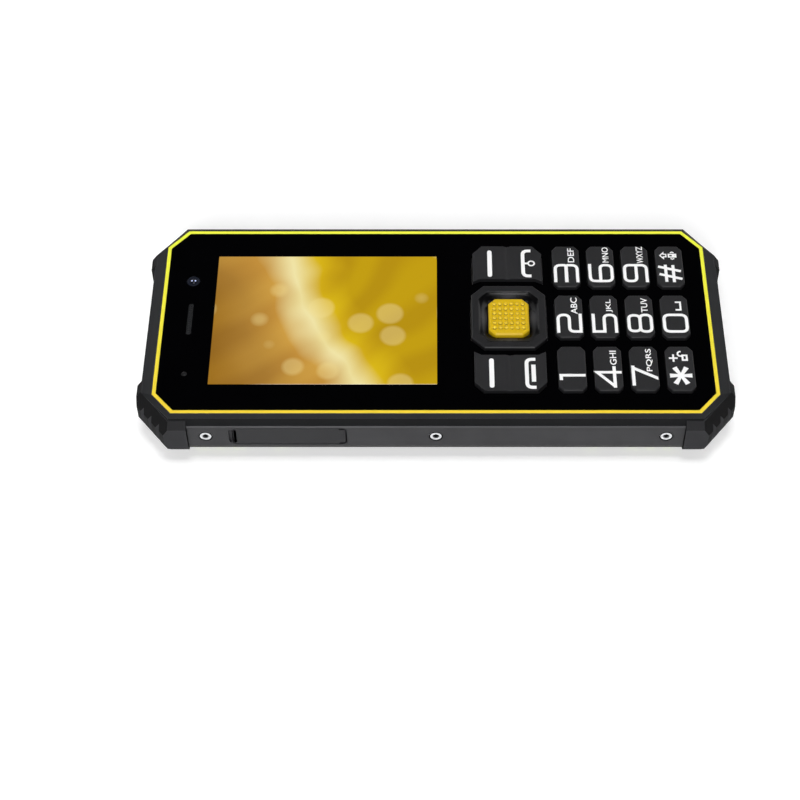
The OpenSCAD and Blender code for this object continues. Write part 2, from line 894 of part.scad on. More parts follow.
// Silicone sheet on a rim, with plunger holes and a rest under each rocker rib
module keypad_mat() {
    color("#55565a") {
        difference() {
            sheet_block(0, board_top + dome_t, mat_z + mat_t);
            sheet_block(mat_rim, 0, mat_z);
            for (p = dome_sites()) translate([p[0], p[1], mat_z - over])
                cylinder(h = 3 * over, r = plunger_r + plunger_clear);
        }
        for (s = [-1, 1]) translate([s * rocker_x, nav_y, 0])
            block(-rocker_rib_len / 2, rocker_rib_len / 2, -rocker_rib_r, rocker_rib_r,
                mat_z, rocker_base - rocker_rib_r - seam);
    }
}

module battery_pack() {
    color("#3d5f8a") translate([0, 0, battery_z])
        linear_extrude(battery_t) rounded_2d(battery_wid, battery_len, battery_r);
}

// Open-fronted socket shell with a tongue, mouth towards +X at x1
module socket_shell(x0, x1, y, len, z, h, wall, tongue) {
    difference() {
        block(x0, x1, y - len / 2, y + len / 2, z - h / 2, z + h / 2);
        block(x0 + socket_back, x1 + over, y - len / 2 + wall, y + len / 2 - wall,
            z - h / 2 + wall, z + h / 2 - wall);
    }
    if (tongue[0] > 0)
        block(x0, x1 - tongue_drop, y - tongue[0] / 2, y + tongue[0] / 2,
            z - tongue[1] / 2, z + tongue[1] / 2);
}

module usb_socket() {
    color("#c3c4c6")
        socket_shell(usb_shell_x, usb_mouth_x, usb_cover_y, usb_shell_len, rail_mid,
            usb_shell_h, usb_wall, usb_tongue);
}

module card_socket() {
    color("#b5b6b8") mirror([1, 0, 0])
        socket_shell(card_shell_x, card_mouth_x, card_cover_y, card_shell_len,
            board_bot - card_shell_t / 2, card_shell_t, card_wall, [0, 0]);
}

module motor_place() {
    translate([motor_x, motor_y, floor_z + motor_rise]) rotate([90, 0, 0]) children();
}

module vibration_motor() {
    color("#a9abad") motor_place() {
        cylinder(h = motor_len, r = motor_r);
        cylinder(h = shaft_len, r = shaft_r);
        translate([-motor_r, -motor_rise, 0]) cube([2 * motor_r, motor_rise, motor_len]);
    }
}

module vibration_weight() {
    color("#7d7f82") motor_place() translate([0, 0, motor_len + weight_gap]) difference() {
        union() {
            cylinder(h = weight_len, r = weight_hub_r);
            intersection() {
                cylinder(h = weight_len, r = weight_r);
                translate([-weight_r, -weight_r, 0]) cube([2 * weight_r, weight_r, weight_len]);
            }
        }
        translate([0, 0, -over]) cylinder(h = weight_len + 2 * over, r = shaft_r + shaft_clear);
    }
}

module microphones() {
    color("#d2c48c") {
        block(voice_x - mic_half, voice_x + mic_half, voice_y - voice_half, voice_y + voice_half,
            board_bot - mic_t, board_bot);
        block(mic_x - mic_half, mic_x + mic_half, lens_y - mic_half, lens_y + mic_half,
            floor_z, floor_z + mic_t);
    }
}

module antenna() {
    y0 = chassis_wall - end_y;
    color("#c58b3b")
        block(-antenna_half, antenna_half, y0, y0 + antenna_t, rail_bot + antenna_low,
            rail_bot + antenna_high);
}

// Number key: bevelled cap, retaining flange and plunger
module number_key(col, row) {
    color("#2b2b2d") translate([col * key_pitch_x, key_row_y(row), 0]) {
        hull() {
            oct_prism(key_oct, flange_z, glass_z + key_rise - key_bevel);
            oct_prism(inset(key_oct, key_bevel), flange_z, glass_z + key_rise);
        }
        oct_prism(inset(key_oct, -key_flange), flange_z, flange_z + flange_t);
        translate([0, 0, plunger_z]) cylinder(h = flange_z - plunger_z + skin, r = plunger_r);
    }
}

module key_1() { number_key(-1, 0); }
module key_2() { number_key(0, 0); }
module key_3() { number_key(1, 0); }
module key_4() { number_key(-1, 1); }
module key_5() { number_key(0, 1); }
module key_6() { number_key(1, 1); }
module key_7() { number_key(-1, 2); }
module key_8() { number_key(0, 2); }
module key_9() { number_key(1, 2); }
module key_star() { number_key(-1, 3); }
module key_0() { number_key(0, 3); }
module key_hash() { number_key(1, 3); }

// Rocker in plan on the right-hand side, grown by g
module rocker_2d(g) {
    h = rocker_half + g;
    x = rocker_out + g;
    translate([0, nav_y]) polygon([
        [x, h - rocker_cut[1]], [x - rocker_cut[0], h], [rocker_ear - g, h],
        [rocker_in - g, rocker_half - rocker_ear_len], [rocker_in - g, rocker_ear_len - rocker_half],
        [rocker_ear - g, -h], [x - rocker_cut[0], -h], [x, rocker_cut[1] - h]
    ]);
}

// Two-way rocker: cross groove over its round pivot rib and a plunger under each end
module rocker() {
    color("#2b2b2d") {
        difference() {
            translate([0, 0, rocker_base])
                linear_extrude(glass_z + key_rise - rocker_base) rocker_2d(0);
            translate([0, nav_y, glass_z + key_rise]) rotate([90, 0, 90])
                linear_extrude(half_wid) polygon([
                    [-rocker_groove_w, rocker_groove_t], [0, -rocker_groove_t],
                    [rocker_groove_w, rocker_groove_t]
                ]);
        }
        for (e = [-1, 1])
            translate([rocker_x, nav_y + e * rocker_press, plunger_z])
                cylinder(h = rocker_base - plunger_z + skin, r = plunger_r);
        translate([rocker_x, nav_y, rocker_base]) rotate([0, 90, 0])
            cylinder(h = rocker_rib_len, r = rocker_rib_r, center = true);
    }
}

module left_rocker() { mirror([1, 0, 0]) rocker(); }
module right_rocker() { rocker(); }

module nav_carrier() {
    color("#4a4b4f") translate([0, nav_y, 0]) {
        difference() {
            oct_prism(carrier_oct, carrier_z, carrier_z + carrier_t);
            cylinder(h = glass_z, r = carrier_hole_r);
        }
        for (a = [0:90:270])
            translate([nav_press[0] * cos(a), nav_press[1] * sin(a), plunger_z])
                cylinder(h = carrier_z - plunger_z + skin, r = nav_plunger_r);
        for (e = [-1, 1]) translate([0, e * (carrier_oct[0] - carrier_rib_in), carrier_z])
            rotate([90, 0, 0]) cylinder(h = carrier_rib_len, r = carrier_rib_r, center = true);
    }
}

// Navigation ring: raised rim around a dished inner wall, on two round pivot ribs
module nav_ring() {
    color("#232325") translate([0, nav_y, 0]) {
        difference() {
            hull() {
                oct_prism(nav_oct, nav_base, nav_top - key_bevel);
                oct_prism(inset(nav_oct, key_bevel), nav_base, nav_top);
            }
            hull() {
                oct_prism(nav_hole, nav_dish_z, nav_dish_z + skin);
                oct_prism(nav_mouth, nav_top - skin, nav_top + skin);
            }
            oct_prism(nav_hole, nav_base - over, nav_top);
        }
        for (s = [-1, 1]) translate([s * (carrier_oct[1] - nav_rib_len / 2), 0, nav_base])
            rotate([0, 90, 0]) cylinder(h = nav_rib_len, r = nav_rib_r, center = true);
    }
}

module ok_key() {
    color("#e0b428") translate([0, nav_y, 0]) {
        hull() {
            oct_prism(ok_oct, ok_base, nav_top - ok_bevel);
            oct_prism(inset(ok_oct, ok_bevel), ok_base, nav_top);
        }
        translate([0, 0, plunger_z]) cylinder(h = ok_base - plunger_z + skin, r = plunger_r);
    }
}

front_bezel();
accent_ring();
front_panel();
display_module();
earpiece_mesh();
earpiece_receiver();
front_camera();
indicator_lens();
mid_chassis();
rear_housing();
housing_gasket();
corner_bumpers();
left_rail();
right_rail();
side_screws();
camera_plate();
plate_screws();
camera_ring();
camera_window();
rear_camera();
flash_lens();
battery_door();
badge_inlay();
speaker_plate();
loudspeaker();
grip_strips();
grip_trim();
accent_bars();
torch_hood();
torch_lens();
main_board();
shield_cans();
dome_sheet();
keypad_mat();
battery_pack();
usb_socket();
card_socket();
vibration_motor();
vibration_weight();
microphones();
antenna();
card_cover();
usb_cover();
key_1();
key_2();
key_3();
key_4();
key_5();
key_6();
key_7();
key_8();
key_9();
key_star();
key_0();
key_hash();
left_rocker();
right_rocker();
nav_carrier();
nav_ring();
ok_key();
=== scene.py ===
import math

import bmesh
import bpy
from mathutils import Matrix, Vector
from mathutils.bvhtree import BVHTree


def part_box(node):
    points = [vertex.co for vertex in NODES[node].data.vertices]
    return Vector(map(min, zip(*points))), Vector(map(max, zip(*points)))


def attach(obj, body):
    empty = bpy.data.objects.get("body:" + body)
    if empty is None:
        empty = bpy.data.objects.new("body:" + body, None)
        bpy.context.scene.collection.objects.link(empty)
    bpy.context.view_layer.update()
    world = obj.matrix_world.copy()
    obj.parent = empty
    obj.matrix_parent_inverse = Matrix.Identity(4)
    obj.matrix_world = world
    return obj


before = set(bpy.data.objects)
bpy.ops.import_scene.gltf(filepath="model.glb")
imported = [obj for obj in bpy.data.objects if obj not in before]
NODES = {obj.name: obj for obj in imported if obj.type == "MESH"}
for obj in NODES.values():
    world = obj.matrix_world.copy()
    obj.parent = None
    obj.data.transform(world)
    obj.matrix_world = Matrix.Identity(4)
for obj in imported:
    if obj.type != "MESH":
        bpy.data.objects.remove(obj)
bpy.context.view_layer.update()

MM = 0.001

# The photograph's camera, in pixels of an 800 wide frame and in metres
FRAME_PX = 800
FOCAL_PX = 1877.4
SHIFT_PX = -28.7
SENSOR_MM = 36.0
CAMERA_AT = (-0.2680, 0.00154, 0.32718)
CAMERA_PITCH = math.radians(52)

# Top of the keys, thickness of legends, how far they reach into the key, and the small step in
# height that keeps crossing strokes out of one plane, in millimetres
KEY_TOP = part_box("key_5")[1].z / MM
LEGEND_T = 0.03
SINK = 0.01
LAYER = 0.001

UP, DOWN, HEAD = (0, 0, 1), (0, 0, -1), (0, 1, 0)
KEY_NAMES = ["key_1", "key_2", "key_3", "key_4", "key_5", "key_6",
             "key_7", "key_8", "key_9", "key_star", "key_0", "key_hash"]


def centre_of(node):
    low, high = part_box(node)
    return (low + high) / 2 / MM


def side_mid(node, toward):
    """Middle of the side of a node's box that lies towards a direction, in millimetres."""
    low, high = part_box(node)
    return [(high[i] if way > 0 else low[i] if way < 0 else (low[i] + high[i]) / 2) / MM
            for i, way in enumerate(toward)]


def linear(rgb):
    """Colour written in 0 to 255 steps, as linear values."""
    out = []
    for v in rgb:
        v /= 255
        out.append(v / 12.92 if v <= 0.04045 else ((v + 0.055) / 1.055) ** 2.4)
    return (*out, 1.0)


# Materials: fine grain and broad patches, paler edges that are partly wear and partly painted edge highlight,
# clear coats, smears on glass
GRAIN_SHARE, BROAD_SHARE, BROAD_PER_MM = 0.6, 0.4, 0.12
MOTTLE_LOW, MOTTLE_HIGH = 0.25, 0.75
WEAR_AND_HIGHLIGHT_MM, WEAR_AND_HIGHLIGHT_SAMPLES, WEAR_AND_HIGHLIGHT_TURN = 0.22, 4, (0.80, 0.985)
COAT_ROUGH, GLASS_COAT_ROUGH = 0.08, 0.02
SMEAR_PER_MM, SMEAR_TONE, SMEAR_ROUGH = 0.35, 0.2, 0.03


def new_material(name):
    m = bpy.data.materials.new(name)
    m.use_nodes = True
    tree = m.node_tree
    place = tree.nodes.new("ShaderNodeTexCoord").outputs["Object"]
    return m, tree, tree.nodes["Principled BSDF"], place


def noise(tree, place, per_mm, detail=3.0, stretch=None):
    if stretch:
        turn = tree.nodes.new("ShaderNodeMapping")
        turn.inputs["Scale"].default_value = stretch
        tree.links.new(place, turn.inputs["Vector"])
        place = turn.outputs["Vector"]
    n = tree.nodes.new("ShaderNodeTexNoise")
    n.inputs["Scale"].default_value = per_mm / MM
    n.inputs["Detail"].default_value = detail
    tree.links.new(place, n.inputs["Vector"])
    return n.outputs["Fac"]


def ramp(tree, fac, stops):
    r = tree.nodes.new("ShaderNodeValToRGB")
    e = r.color_ramp.elements
    while len(e) < len(stops):
        e.new(0.5)
    for item, (pos, col) in zip(e, stops):
        item.position = pos
        item.color = col
    tree.links.new(fac, r.inputs["Fac"])
    return r.outputs["Color"]


def remap(tree, fac, low, high, a=0.3, b=0.7):
    m = tree.nodes.new("ShaderNodeMapRange")
    m.inputs["From Min"].default_value = a
    m.inputs["From Max"].default_value = b
    m.inputs["To Min"].default_value = low
    m.inputs["To Max"].default_value = high
    tree.links.new(fac, m.inputs["Value"])
    return m.outputs["Result"]


def scaled(rgb, k):
    return (*[min(1.0, c * k) for c in rgb[:3]], 1.0)


def edge_mask(tree, radius_mm):
    """About 1 along sharp edges and 0 on flat faces."""
    soft = tree.nodes.new("ShaderNodeBevel")
    soft.samples = WEAR_AND_HIGHLIGHT_SAMPLES
    soft.inputs["Radius"].default_value = radius_mm * MM
    geo = tree.nodes.new("ShaderNodeNewGeometry")
    dot = tree.nodes.new("ShaderNodeVectorMath")
    dot.operation = "DOT_PRODUCT"
    tree.links.new(soft.outputs["Normal"], dot.inputs[0])
    tree.links.new(geo.outputs["Normal"], dot.inputs[1])
    return remap(tree, dot.outputs["Value"], 1.0, 0.0, *WEAR_AND_HIGHLIGHT_TURN)


def facing(tree, place, axis, start, end, share):
    """1 where a face's normal has the start amount along an axis, drifting to share at the end amount."""
    axes = tree.nodes.new("ShaderNodeSeparateXYZ")
    tree.links.new(place.node.outputs["Normal"], axes.inputs[0])
    size = tree.nodes.new("ShaderNodeMath")
    size.operation = "ABSOLUTE"
    tree.links.new(axes.outputs[axis], size.inputs[0])
    return remap(tree, size.outputs[0], 1.0, share, start, end)


def surface(name, rgb, rough, metal=0.0, vary=0.12, grain=5.0, bump_mm=0.006, rough_vary=0.06,
            edge_wear_and_highlight=None, stretch=None, level=0.25, painted_shade=()):
    """Colour with fine grain, uneven gloss, small bumps, painted shade by facing, and paler edges that are
    partly wear and partly painted edge highlight.
    """
    m, tree, bsdf, place = new_material(name)
    base = linear(rgb)
    mottle = noise(tree, place, grain, 4.0, stretch)
    broad = noise(tree, place, BROAD_PER_MM, 2.0)
    mix = tree.nodes.new("ShaderNodeMath")
    mix.operation = "MULTIPLY_ADD"
    mix.inputs[1].default_value = GRAIN_SHARE
    tree.links.new(mottle, mix.inputs[0])
    tree.links.new(remap(tree, broad, 0.0, BROAD_SHARE), mix.inputs[2])
    colour = ramp(tree, mix.outputs[0], [(MOTTLE_LOW, scaled(base, 1 - vary)),
                                         (MOTTLE_HIGH, scaled(base, 1 + vary))])
    # Paler edges: partly wear, partly painted edge highlight
    if edge_wear_and_highlight:
        wear_and_highlight = tree.nodes.new("ShaderNodeMix")
        wear_and_highlight.data_type = "RGBA"
        wear_and_highlight.inputs["B"].default_value = linear(edge_wear_and_highlight)
        tree.links.new(edge_mask(tree, WEAR_AND_HIGHLIGHT_MM), wear_and_highlight.inputs["Factor"])
        tree.links.new(colour, wear_and_highlight.inputs["A"])
        colour = wear_and_highlight.outputs["Result"]
    # Painted shade: faces darkened by how far they turn along an axis
    for axis, start, end, share in painted_shade:
        shade_by_facing = tree.nodes.new("ShaderNodeMix")
        shade_by_facing.data_type = "RGBA"
        shade_by_facing.blend_type = "MULTIPLY"
        shade_by_facing.inputs["Factor"].default_value = 1.0
        tree.links.new(colour, shade_by_facing.inputs["A"])
        tree.links.new(facing(tree, place, axis, start, end, share), shade_by_facing.inputs["B"])
        colour = shade_by_facing.outputs["Result"]
    tree.links.new(colour, bsdf.inputs["Base Color"])
    tree.links.new(remap(tree, mottle, rough - rough_vary, rough + rough_vary),
                   bsdf.inputs["Roughness"])
    bsdf.inputs["Metallic"].default_value = metal
    bsdf.inputs["Specular IOR Level"].default_value = level
    bsdf.inputs["Coat Roughness"].default_value = COAT_ROUGH
    if bump_mm:
        b = tree.nodes.new("ShaderNodeBump")
        b.inputs["Strength"].default_value = 1.0
        b.inputs["Distance"].default_value = bump_mm * MM
        tree.links.new(noise(tree, place, grain, 4.0, stretch), b.inputs["Height"])
        tree.links.new(b.outputs["Normal"], bsdf.inputs["Normal"])
    return m


def glass(name, rgb, rough=0.03, glow=0.0, coat=0.6, level=0.5):
    """Gloss lens with faint smears; where glow is given it glows, which is painted light."""
    m, tree, bsdf, place = new_material(name)
    smear = noise(tree, place, SMEAR_PER_MM)
    base = linear(rgb)
    tones = [(0.3, scaled(base, 1 - SMEAR_TONE)), (0.7, scaled(base, 1 + SMEAR_TONE))]
    tree.links.new(ramp(tree, smear, tones), bsdf.inputs["Base Color"])
    tree.links.new(remap(tree, smear, rough, rough + SMEAR_ROUGH), bsdf.inputs["Roughness"])
    bsdf.inputs["Specular IOR Level"].default_value = level
    bsdf.inputs["Coat Weight"].default_value = coat
    bsdf.inputs["Coat Roughness"].default_value = GLASS_COAT_ROUGH
    if glow:
        bsdf.inputs["Emission Color"].default_value = base
        bsdf.inputs["Emission Strength"].default_value = glow
    return m


# Paint of the accent ring
FLECKS_PER_MM, FLECK_SHARE = 4.0, 0.08
RING_ROUGH, RING_LEVEL = (0.32, 0.44), 0.25


def two_tone(name, near, far):
    """Satin colour that drifts from one tint at the low-x side of the accent ring to another at the high-x
    side.
    """
    m, tree, bsdf, place = new_material(name)
    axes = tree.nodes.new("ShaderNodeSeparateXYZ")
    tree.links.new(place, axes.inputs[0])
    low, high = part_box("accent_ring")
    flecks = noise(tree, place, FLECKS_PER_MM, 4.0)
    spot = tree.nodes.new("ShaderNodeMath")
    spot.operation = "MULTIPLY_ADD"
    spot.inputs[1].default_value = FLECK_SHARE
    tree.links.new(flecks, spot.inputs[0])
    tree.links.new(remap(tree, axes.outputs["X"], 0.0, 1.0, low.x, high.x), spot.inputs[2])
    tree.links.new(ramp(tree, spot.outputs[0], [(0.0, linear(near)), (1.0, linear(far))]),
                   bsdf.inputs["Base Color"])
    tree.links.new(remap(tree, flecks, *RING_ROUGH), bsdf.inputs["Roughness"])
    bsdf.inputs["Specular IOR Level"].default_value = RING_LEVEL
    return m


# Painted highlights in the navigation ring's well: where its corners are dark, as shares of a turn
DARK_FROM, DARK_TO, QUARTER = 0.10, 0.15, 0.25
WELL_PER_MM, WELL_ROUGH, WELL_LEVEL = 0.8, (0.26, 0.34), 0.1


def painted_highlight_dish(name, node, dark, pale):
    """Gloss dish with painted highlights: its colour swings from pale at the middle of each side to dark in
    the corners.
    """
    m, tree, bsdf, place = new_material(name)
    low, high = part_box(node)
    half, mid = (high - low) / 2, (high + low) / 2
    centred = tree.nodes.new("ShaderNodeMapping")
    centred.inputs["Scale"].default_value = (1 / half.x, 1 / half.y, 1 / half.z)
    centred.inputs["Location"].default_value = (-mid.x / half.x, -mid.y / half.y, -mid.z / half.z)
    tree.links.new(place, centred.inputs["Vector"])
    fan = tree.nodes.new("ShaderNodeTexGradient")
    fan.gradient_type = "RADIAL"
    tree.links.new(centred.outputs["Vector"], fan.inputs["Vector"])
    stops = [(0.0, linear(pale))]
    for k in range(4):
        start = QUARTER * k
        stops += [(start + DARK_FROM, linear(dark)), (start + DARK_TO, linear(dark)),
                  (start + QUARTER, linear(pale))]
    colour = ramp(tree, fan.outputs["Fac"], stops)
    colour.node.color_ramp.interpolation = "EASE"
    tree.links.new(colour, bsdf.inputs["Base Color"])
    tree.links.new(remap(tree, noise(tree, place, WELL_PER_MM), *WELL_ROUGH), bsdf.inputs["Roughness"])
    bsdf.inputs["Specular IOR Level"].default_value = WELL_LEVEL
    return m


# Screen picture: stops of the wash, its slant and drift, then folds and discs
WASH = [(0.26, (150, 104, 22)), (0.48, (172, 126, 48)), (0.66, (198, 148, 60)),
        (0.79, (238, 224, 160)), (0.90, (212, 176, 10)), (1.0, (188, 150, 0))]
WASH_LEAN, WASH_DRIFT, DRIFT_PER_MM = 0.28, 0.34, 0.045
FOLD_SCALE, FOLD_BEND, FOLD_SHARE = 34.0, 5.0, 0.35
FOLD_TONES = [(0.1, (0.3, 0.3, 0.3, 1)), (0.9, (0.7, 0.7, 0.7, 1))]
DISC_SCALE, DISC_SHARE, DISC_EDGE, DISC_RGB = 105.0, 0.30, (0.26, 0.34), (246, 226, 150)
SCREEN_BACK, SCREEN_ROUGH, LIT_TURN = (0.004, 0.004, 0.004, 1), (0.04, 0.07), (0.9, 0.5)


def wallpaper(name):
    """Lit screen: golden wash with soft slanting folds and pale discs, on the top face alone."""
    m, tree, bsdf, place = new_material(name)
    low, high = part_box("display_module")
    axes = tree.nodes.new("ShaderNodeSeparateXYZ")
    tree.links.new(place, axes.inputs[0])
    along = remap(tree, axes.outputs["Y"], 0.0, 1.0, high.y, low.y)
    across = remap(tree, axes.outputs["X"], 0.0, 1.0, low.x, high.x)
    lean = tree.nodes.new("ShaderNodeMath")
    lean.operation = "MULTIPLY_ADD"
    lean.inputs[1].default_value = WASH_LEAN
    tree.links.new(across, lean.inputs[0])
    tree.links.new(along, lean.inputs[2])
    drift = noise(tree, place, DRIFT_PER_MM, 2.0)
    fac = tree.nodes.new("ShaderNodeMath")
    fac.operation = "MULTIPLY_ADD"
    fac.inputs[1].default_value = WASH_DRIFT
    tree.links.new(drift, fac.inputs[0])
    tree.links.new(lean.outputs[0], fac.inputs[2])
    wash = ramp(tree, fac.outputs[0], [(at, linear(rgb)) for at, rgb in WASH])
    folds = tree.nodes.new("ShaderNodeTexWave")
    folds.wave_type = "BANDS"
    folds.bands_direction = "DIAGONAL"
    folds.inputs["Scale"].default_value = FOLD_SCALE
    folds.inputs["Distortion"].default_value = FOLD_BEND
    folds.inputs["Detail"].default_value = 1.0
    tree.links.new(place, folds.inputs["Vector"])
    sheen = tree.nodes.new("ShaderNodeMix")
    sheen.data_type = "RGBA"
    sheen.blend_type = "SOFT_LIGHT"
    sheen.inputs["Factor"].default_value = FOLD_SHARE
    tree.links.new(wash, sheen.inputs["A"])
    tree.links.new(ramp(tree, folds.outputs["Fac"], FOLD_TONES), sheen.inputs["B"])
    discs = tree.nodes.new("ShaderNodeTexVoronoi")
    discs.inputs["Scale"].default_value = DISC_SCALE
    tree.links.new(place, discs.inputs["Vector"])
    pale = tree.nodes.new("ShaderNodeMix")
    pale.data_type = "RGBA"
    pale.inputs["B"].default_value = linear(DISC_RGB)
    tree.links.new(remap(tree, discs.outputs["Distance"], DISC_SHARE, 0.0, *DISC_EDGE), pale.inputs["Factor"])
    tree.links.new(sheen.outputs["Result"], pale.inputs["A"])
    lit = tree.nodes.new("ShaderNodeMix")
    lit.data_type = "RGBA"
    lit.inputs["A"].default_value = (0, 0, 0, 1)
    tree.links.new(facing(tree, place, "Z", *LIT_TURN, 0.0), lit.inputs["Factor"])
    tree.links.new(pale.outputs["Result"], lit.inputs["B"])
    tree.links.new(lit.outputs["Result"], bsdf.inputs["Emission Color"])
    bsdf.inputs["Emission Strength"].default_value = 1.0
    bsdf.inputs["Base Color"].default_value = SCREEN_BACK
    tree.links.new(remap(tree, drift, *SCREEN_ROUGH), bsdf.inputs["Roughness"])
    return m


# Materials by a short name; painted_shade darkens faces by how they face, and edge colours are partly wear and
# partly painted edge highlight
M = {
    # Bezel: painted shade on its side and end faces
    "bezel": surface("bezel_plastic", (38, 39, 41), 0.55, edge_wear_and_highlight=(88, 88, 90), bump_mm=0.004, level=0.08,
                     painted_shade=[("Z", 0.5, 0.25, 0.42), ("Y", 0.3, 0.6, 0.7)]),
    "shell": surface("shell_plastic", (44, 44, 44), 0.55, edge_wear_and_highlight=(66, 66, 68), bump_mm=0.008),
    # Corner pads: painted shade on their slanted and upper faces
    "pad": surface("pad_rubber", (58, 58, 60), 0.68, edge_wear_and_highlight=(76, 76, 78), bump_mm=0.008, level=0.06,
                   painted_shade=[("Y", 0.3, 0.6, 0.22), ("Z", 0.25, 0.5, 0.55)]),
    "grip": surface("grip_rubber", (46, 46, 47), 0.6, edge_wear_and_highlight=(64, 64, 65), bump_mm=0.008, level=0.12),
    "rail": surface("rail_metal", (58, 58, 60), 0.48, metal=0.3, edge_wear_and_highlight=(66, 66, 68), bump_mm=0.003,
                    stretch=(1, 0.12, 1)),
    "cover": surface("cover_rubber", (44, 44, 46), 0.6, edge_wear_and_highlight=(66, 66, 68), bump_mm=0.006),
    "ring": two_tone("ring_paint", (247, 214, 58), (244, 250, 72)),
    "lime": surface("lime_paint", (198, 224, 22), 0.4, vary=0.05, edge_wear_and_highlight=(216, 238, 70), bump_mm=0.003),
    "panel": surface("panel_black", (1, 1, 2), 0.06, vary=0.3, grain=0.6, bump_mm=0.0,
                     rough_vary=0.02, level=0.08),
    "key": surface("key_plastic", (29, 29, 31), 0.5, edge_wear_and_highlight=(46, 46, 48), bump_mm=0.005),
    "rocker": surface("rocker_plastic", (29, 29, 31), 0.5, edge_wear_and_highlight=(38, 38, 40), bump_mm=0.005),
    "nav": surface("nav_plastic", (24, 24, 26), 0.45, edge_wear_and_highlight=(52, 52, 54), bump_mm=0.004),
    # Navigation well: painted highlights at the middle of each side, dark corners
    "well": painted_highlight_dish("nav_gloss_painted_highlight", "nav_ring", (2, 2, 3), (52, 52, 54)),
    "ok": surface("ok_plastic", (214, 177, 20), 0.42, vary=0.05, edge_wear_and_highlight=(230, 192, 32), bump_mm=0.004),
    # Pimples paler than their key, with painted shade on their steep sides: painted highlight and shade
    "dot": surface("dot_painted_highlight_and_shade", (238, 203, 34), 0.35, vary=0.05, bump_mm=0.002, level=0.5,
                   painted_shade=[("Z", 0.85, 0.4, 0.34)]),
    "ink": surface("legend_ink", (250, 250, 250), 0.5, vary=0.03, bump_mm=0.001, grain=9.0),
    "steel": surface("screw_steel", (226, 227, 229), 0.34, metal=0.9, vary=0.05,
                     edge_wear_and_highlight=(240, 240, 242), bump_mm=0.003),
    # Dark plates in the screw sockets and seats: painted shade
    "socket": surface("socket_painted_shade", (9, 9, 10), 0.6, edge_wear_and_highlight=(20, 20, 21), bump_mm=0.003, level=0.06),
    "dark_steel": surface("black_screw", (38, 38, 40), 0.4, metal=0.7, edge_wear_and_highlight=(70, 70, 72), bump_mm=0.003),
    "chassis": surface("chassis_plastic", (60, 61, 65), 0.6),
    "seal": surface("seal_silicone", (86, 87, 90), 0.65),
    "gasket": surface("gasket_rubber", (176, 72, 46), 0.6),
    "board": surface("board_lacquer", (30, 88, 52), 0.4, grain=2.0, bump_mm=0.01),
    "film": surface("dome_film", (200, 184, 106), 0.35),
    "cell": surface("cell_wrap", (62, 94, 138), 0.45),
    "tin": surface("transducer_tin", (146, 147, 150), 0.35, metal=0.9),
    "copper": surface("antenna_copper", (196, 138, 58), 0.35, metal=0.9),
    "mesh": surface("mesh_black", (30, 31, 33), 0.5),
    "badge": surface("badge_black", (10, 10, 11), 0.3, edge_wear_and_highlight=(34, 34, 36), bump_mm=0.001, level=0.06),
    "lens": glass("lens_blue", (8, 12, 30), coat=0.1, level=0.3),
    # Glowing dots on the front lens: painted reflections
    "painted_glint": glass("lens_painted_glint", (196, 208, 250), 0.1, glow=0.7, coat=0.1),
    "wire": surface("mesh_wire", (36, 37, 39), 0.45, metal=0.3, bump_mm=0.002),
    "lens_rim": surface("lens_barrel", (15, 18, 27), 0.35, edge_wear_and_highlight=(26, 30, 42), bump_mm=0.002, level=0.12),
    "window": glass("window_black", (4, 5, 6), coat=0.05, level=0.1),
    "lamp": glass("lamp_clear", (216, 214, 196), 0.12),
    "flash": glass("flash_smoke", (58, 58, 56), 0.2),
    "flash_line": glass("flash_clear", (140, 140, 132), 0.15),
    "led": surface("indicator_smoke", (30, 30, 31), 0.4, grain=2.0, bump_mm=0.002, level=0.08),
    "screen": wallpaper("screen_lit"),
}

# Camera
camera_data = bpy.data.cameras.new("camera")
camera = bpy.data.objects.new("camera", camera_data)
bpy.context.scene.collection.objects.link(camera)
camera_data.sensor_width = SENSOR_MM
camera_data.lens = FOCAL_PX / FRAME_PX * SENSOR_MM
camera_data.shift_x = SHIFT_PX / FRAME_PX
camera.location = CAMERA_AT
look = Vector((math.cos(CAMERA_PITCH), 0, -math.sin(CAMERA_PITCH)))
camera.rotation_euler = look.to_track_quat("-Z", "Y").to_euler()
bpy.context.scene.camera = camera
bpy.context.scene.view_settings.view_transform = "Standard"

# White stage in metres, and how the glow of its floor and wall grows with distance
STAGE_R = 3.0
WALL_H = 1.8
FLOOR_Z = -0.00003
FLOOR_GLOW = (0.34, 0.92)
WALL_GLOW = (0.92, 0.92)
GLOW_FROM, GLOW_TO = 0.6, 2.0
STAGE_STEPS = 96
PAPER = [(0.3, (0.80, 0.80, 0.80, 1)), (0.7, (0.82, 0.82, 0.82, 1))]
PAPER_PER_MM, PAPER_ROUGH, PAPER_LEVEL = 0.02, 0.9, 0.1
# Name, place and size in metres, watts
LAMPS = [("lamp_key", (-0.95, 0.12, 0.72), 0.5, 9.0), ("lamp_top", (0.02, 0.0, 1.2), 0.36, 6.6),
         ("lamp_head", (0.60, 0.78, 0.46), 0.3, 1.3), ("lamp_foot", (0.60, -0.78, 0.46), 0.3, 1.3)]
WORLD_TINT = (0.07, 0.07, 0.072, 1)


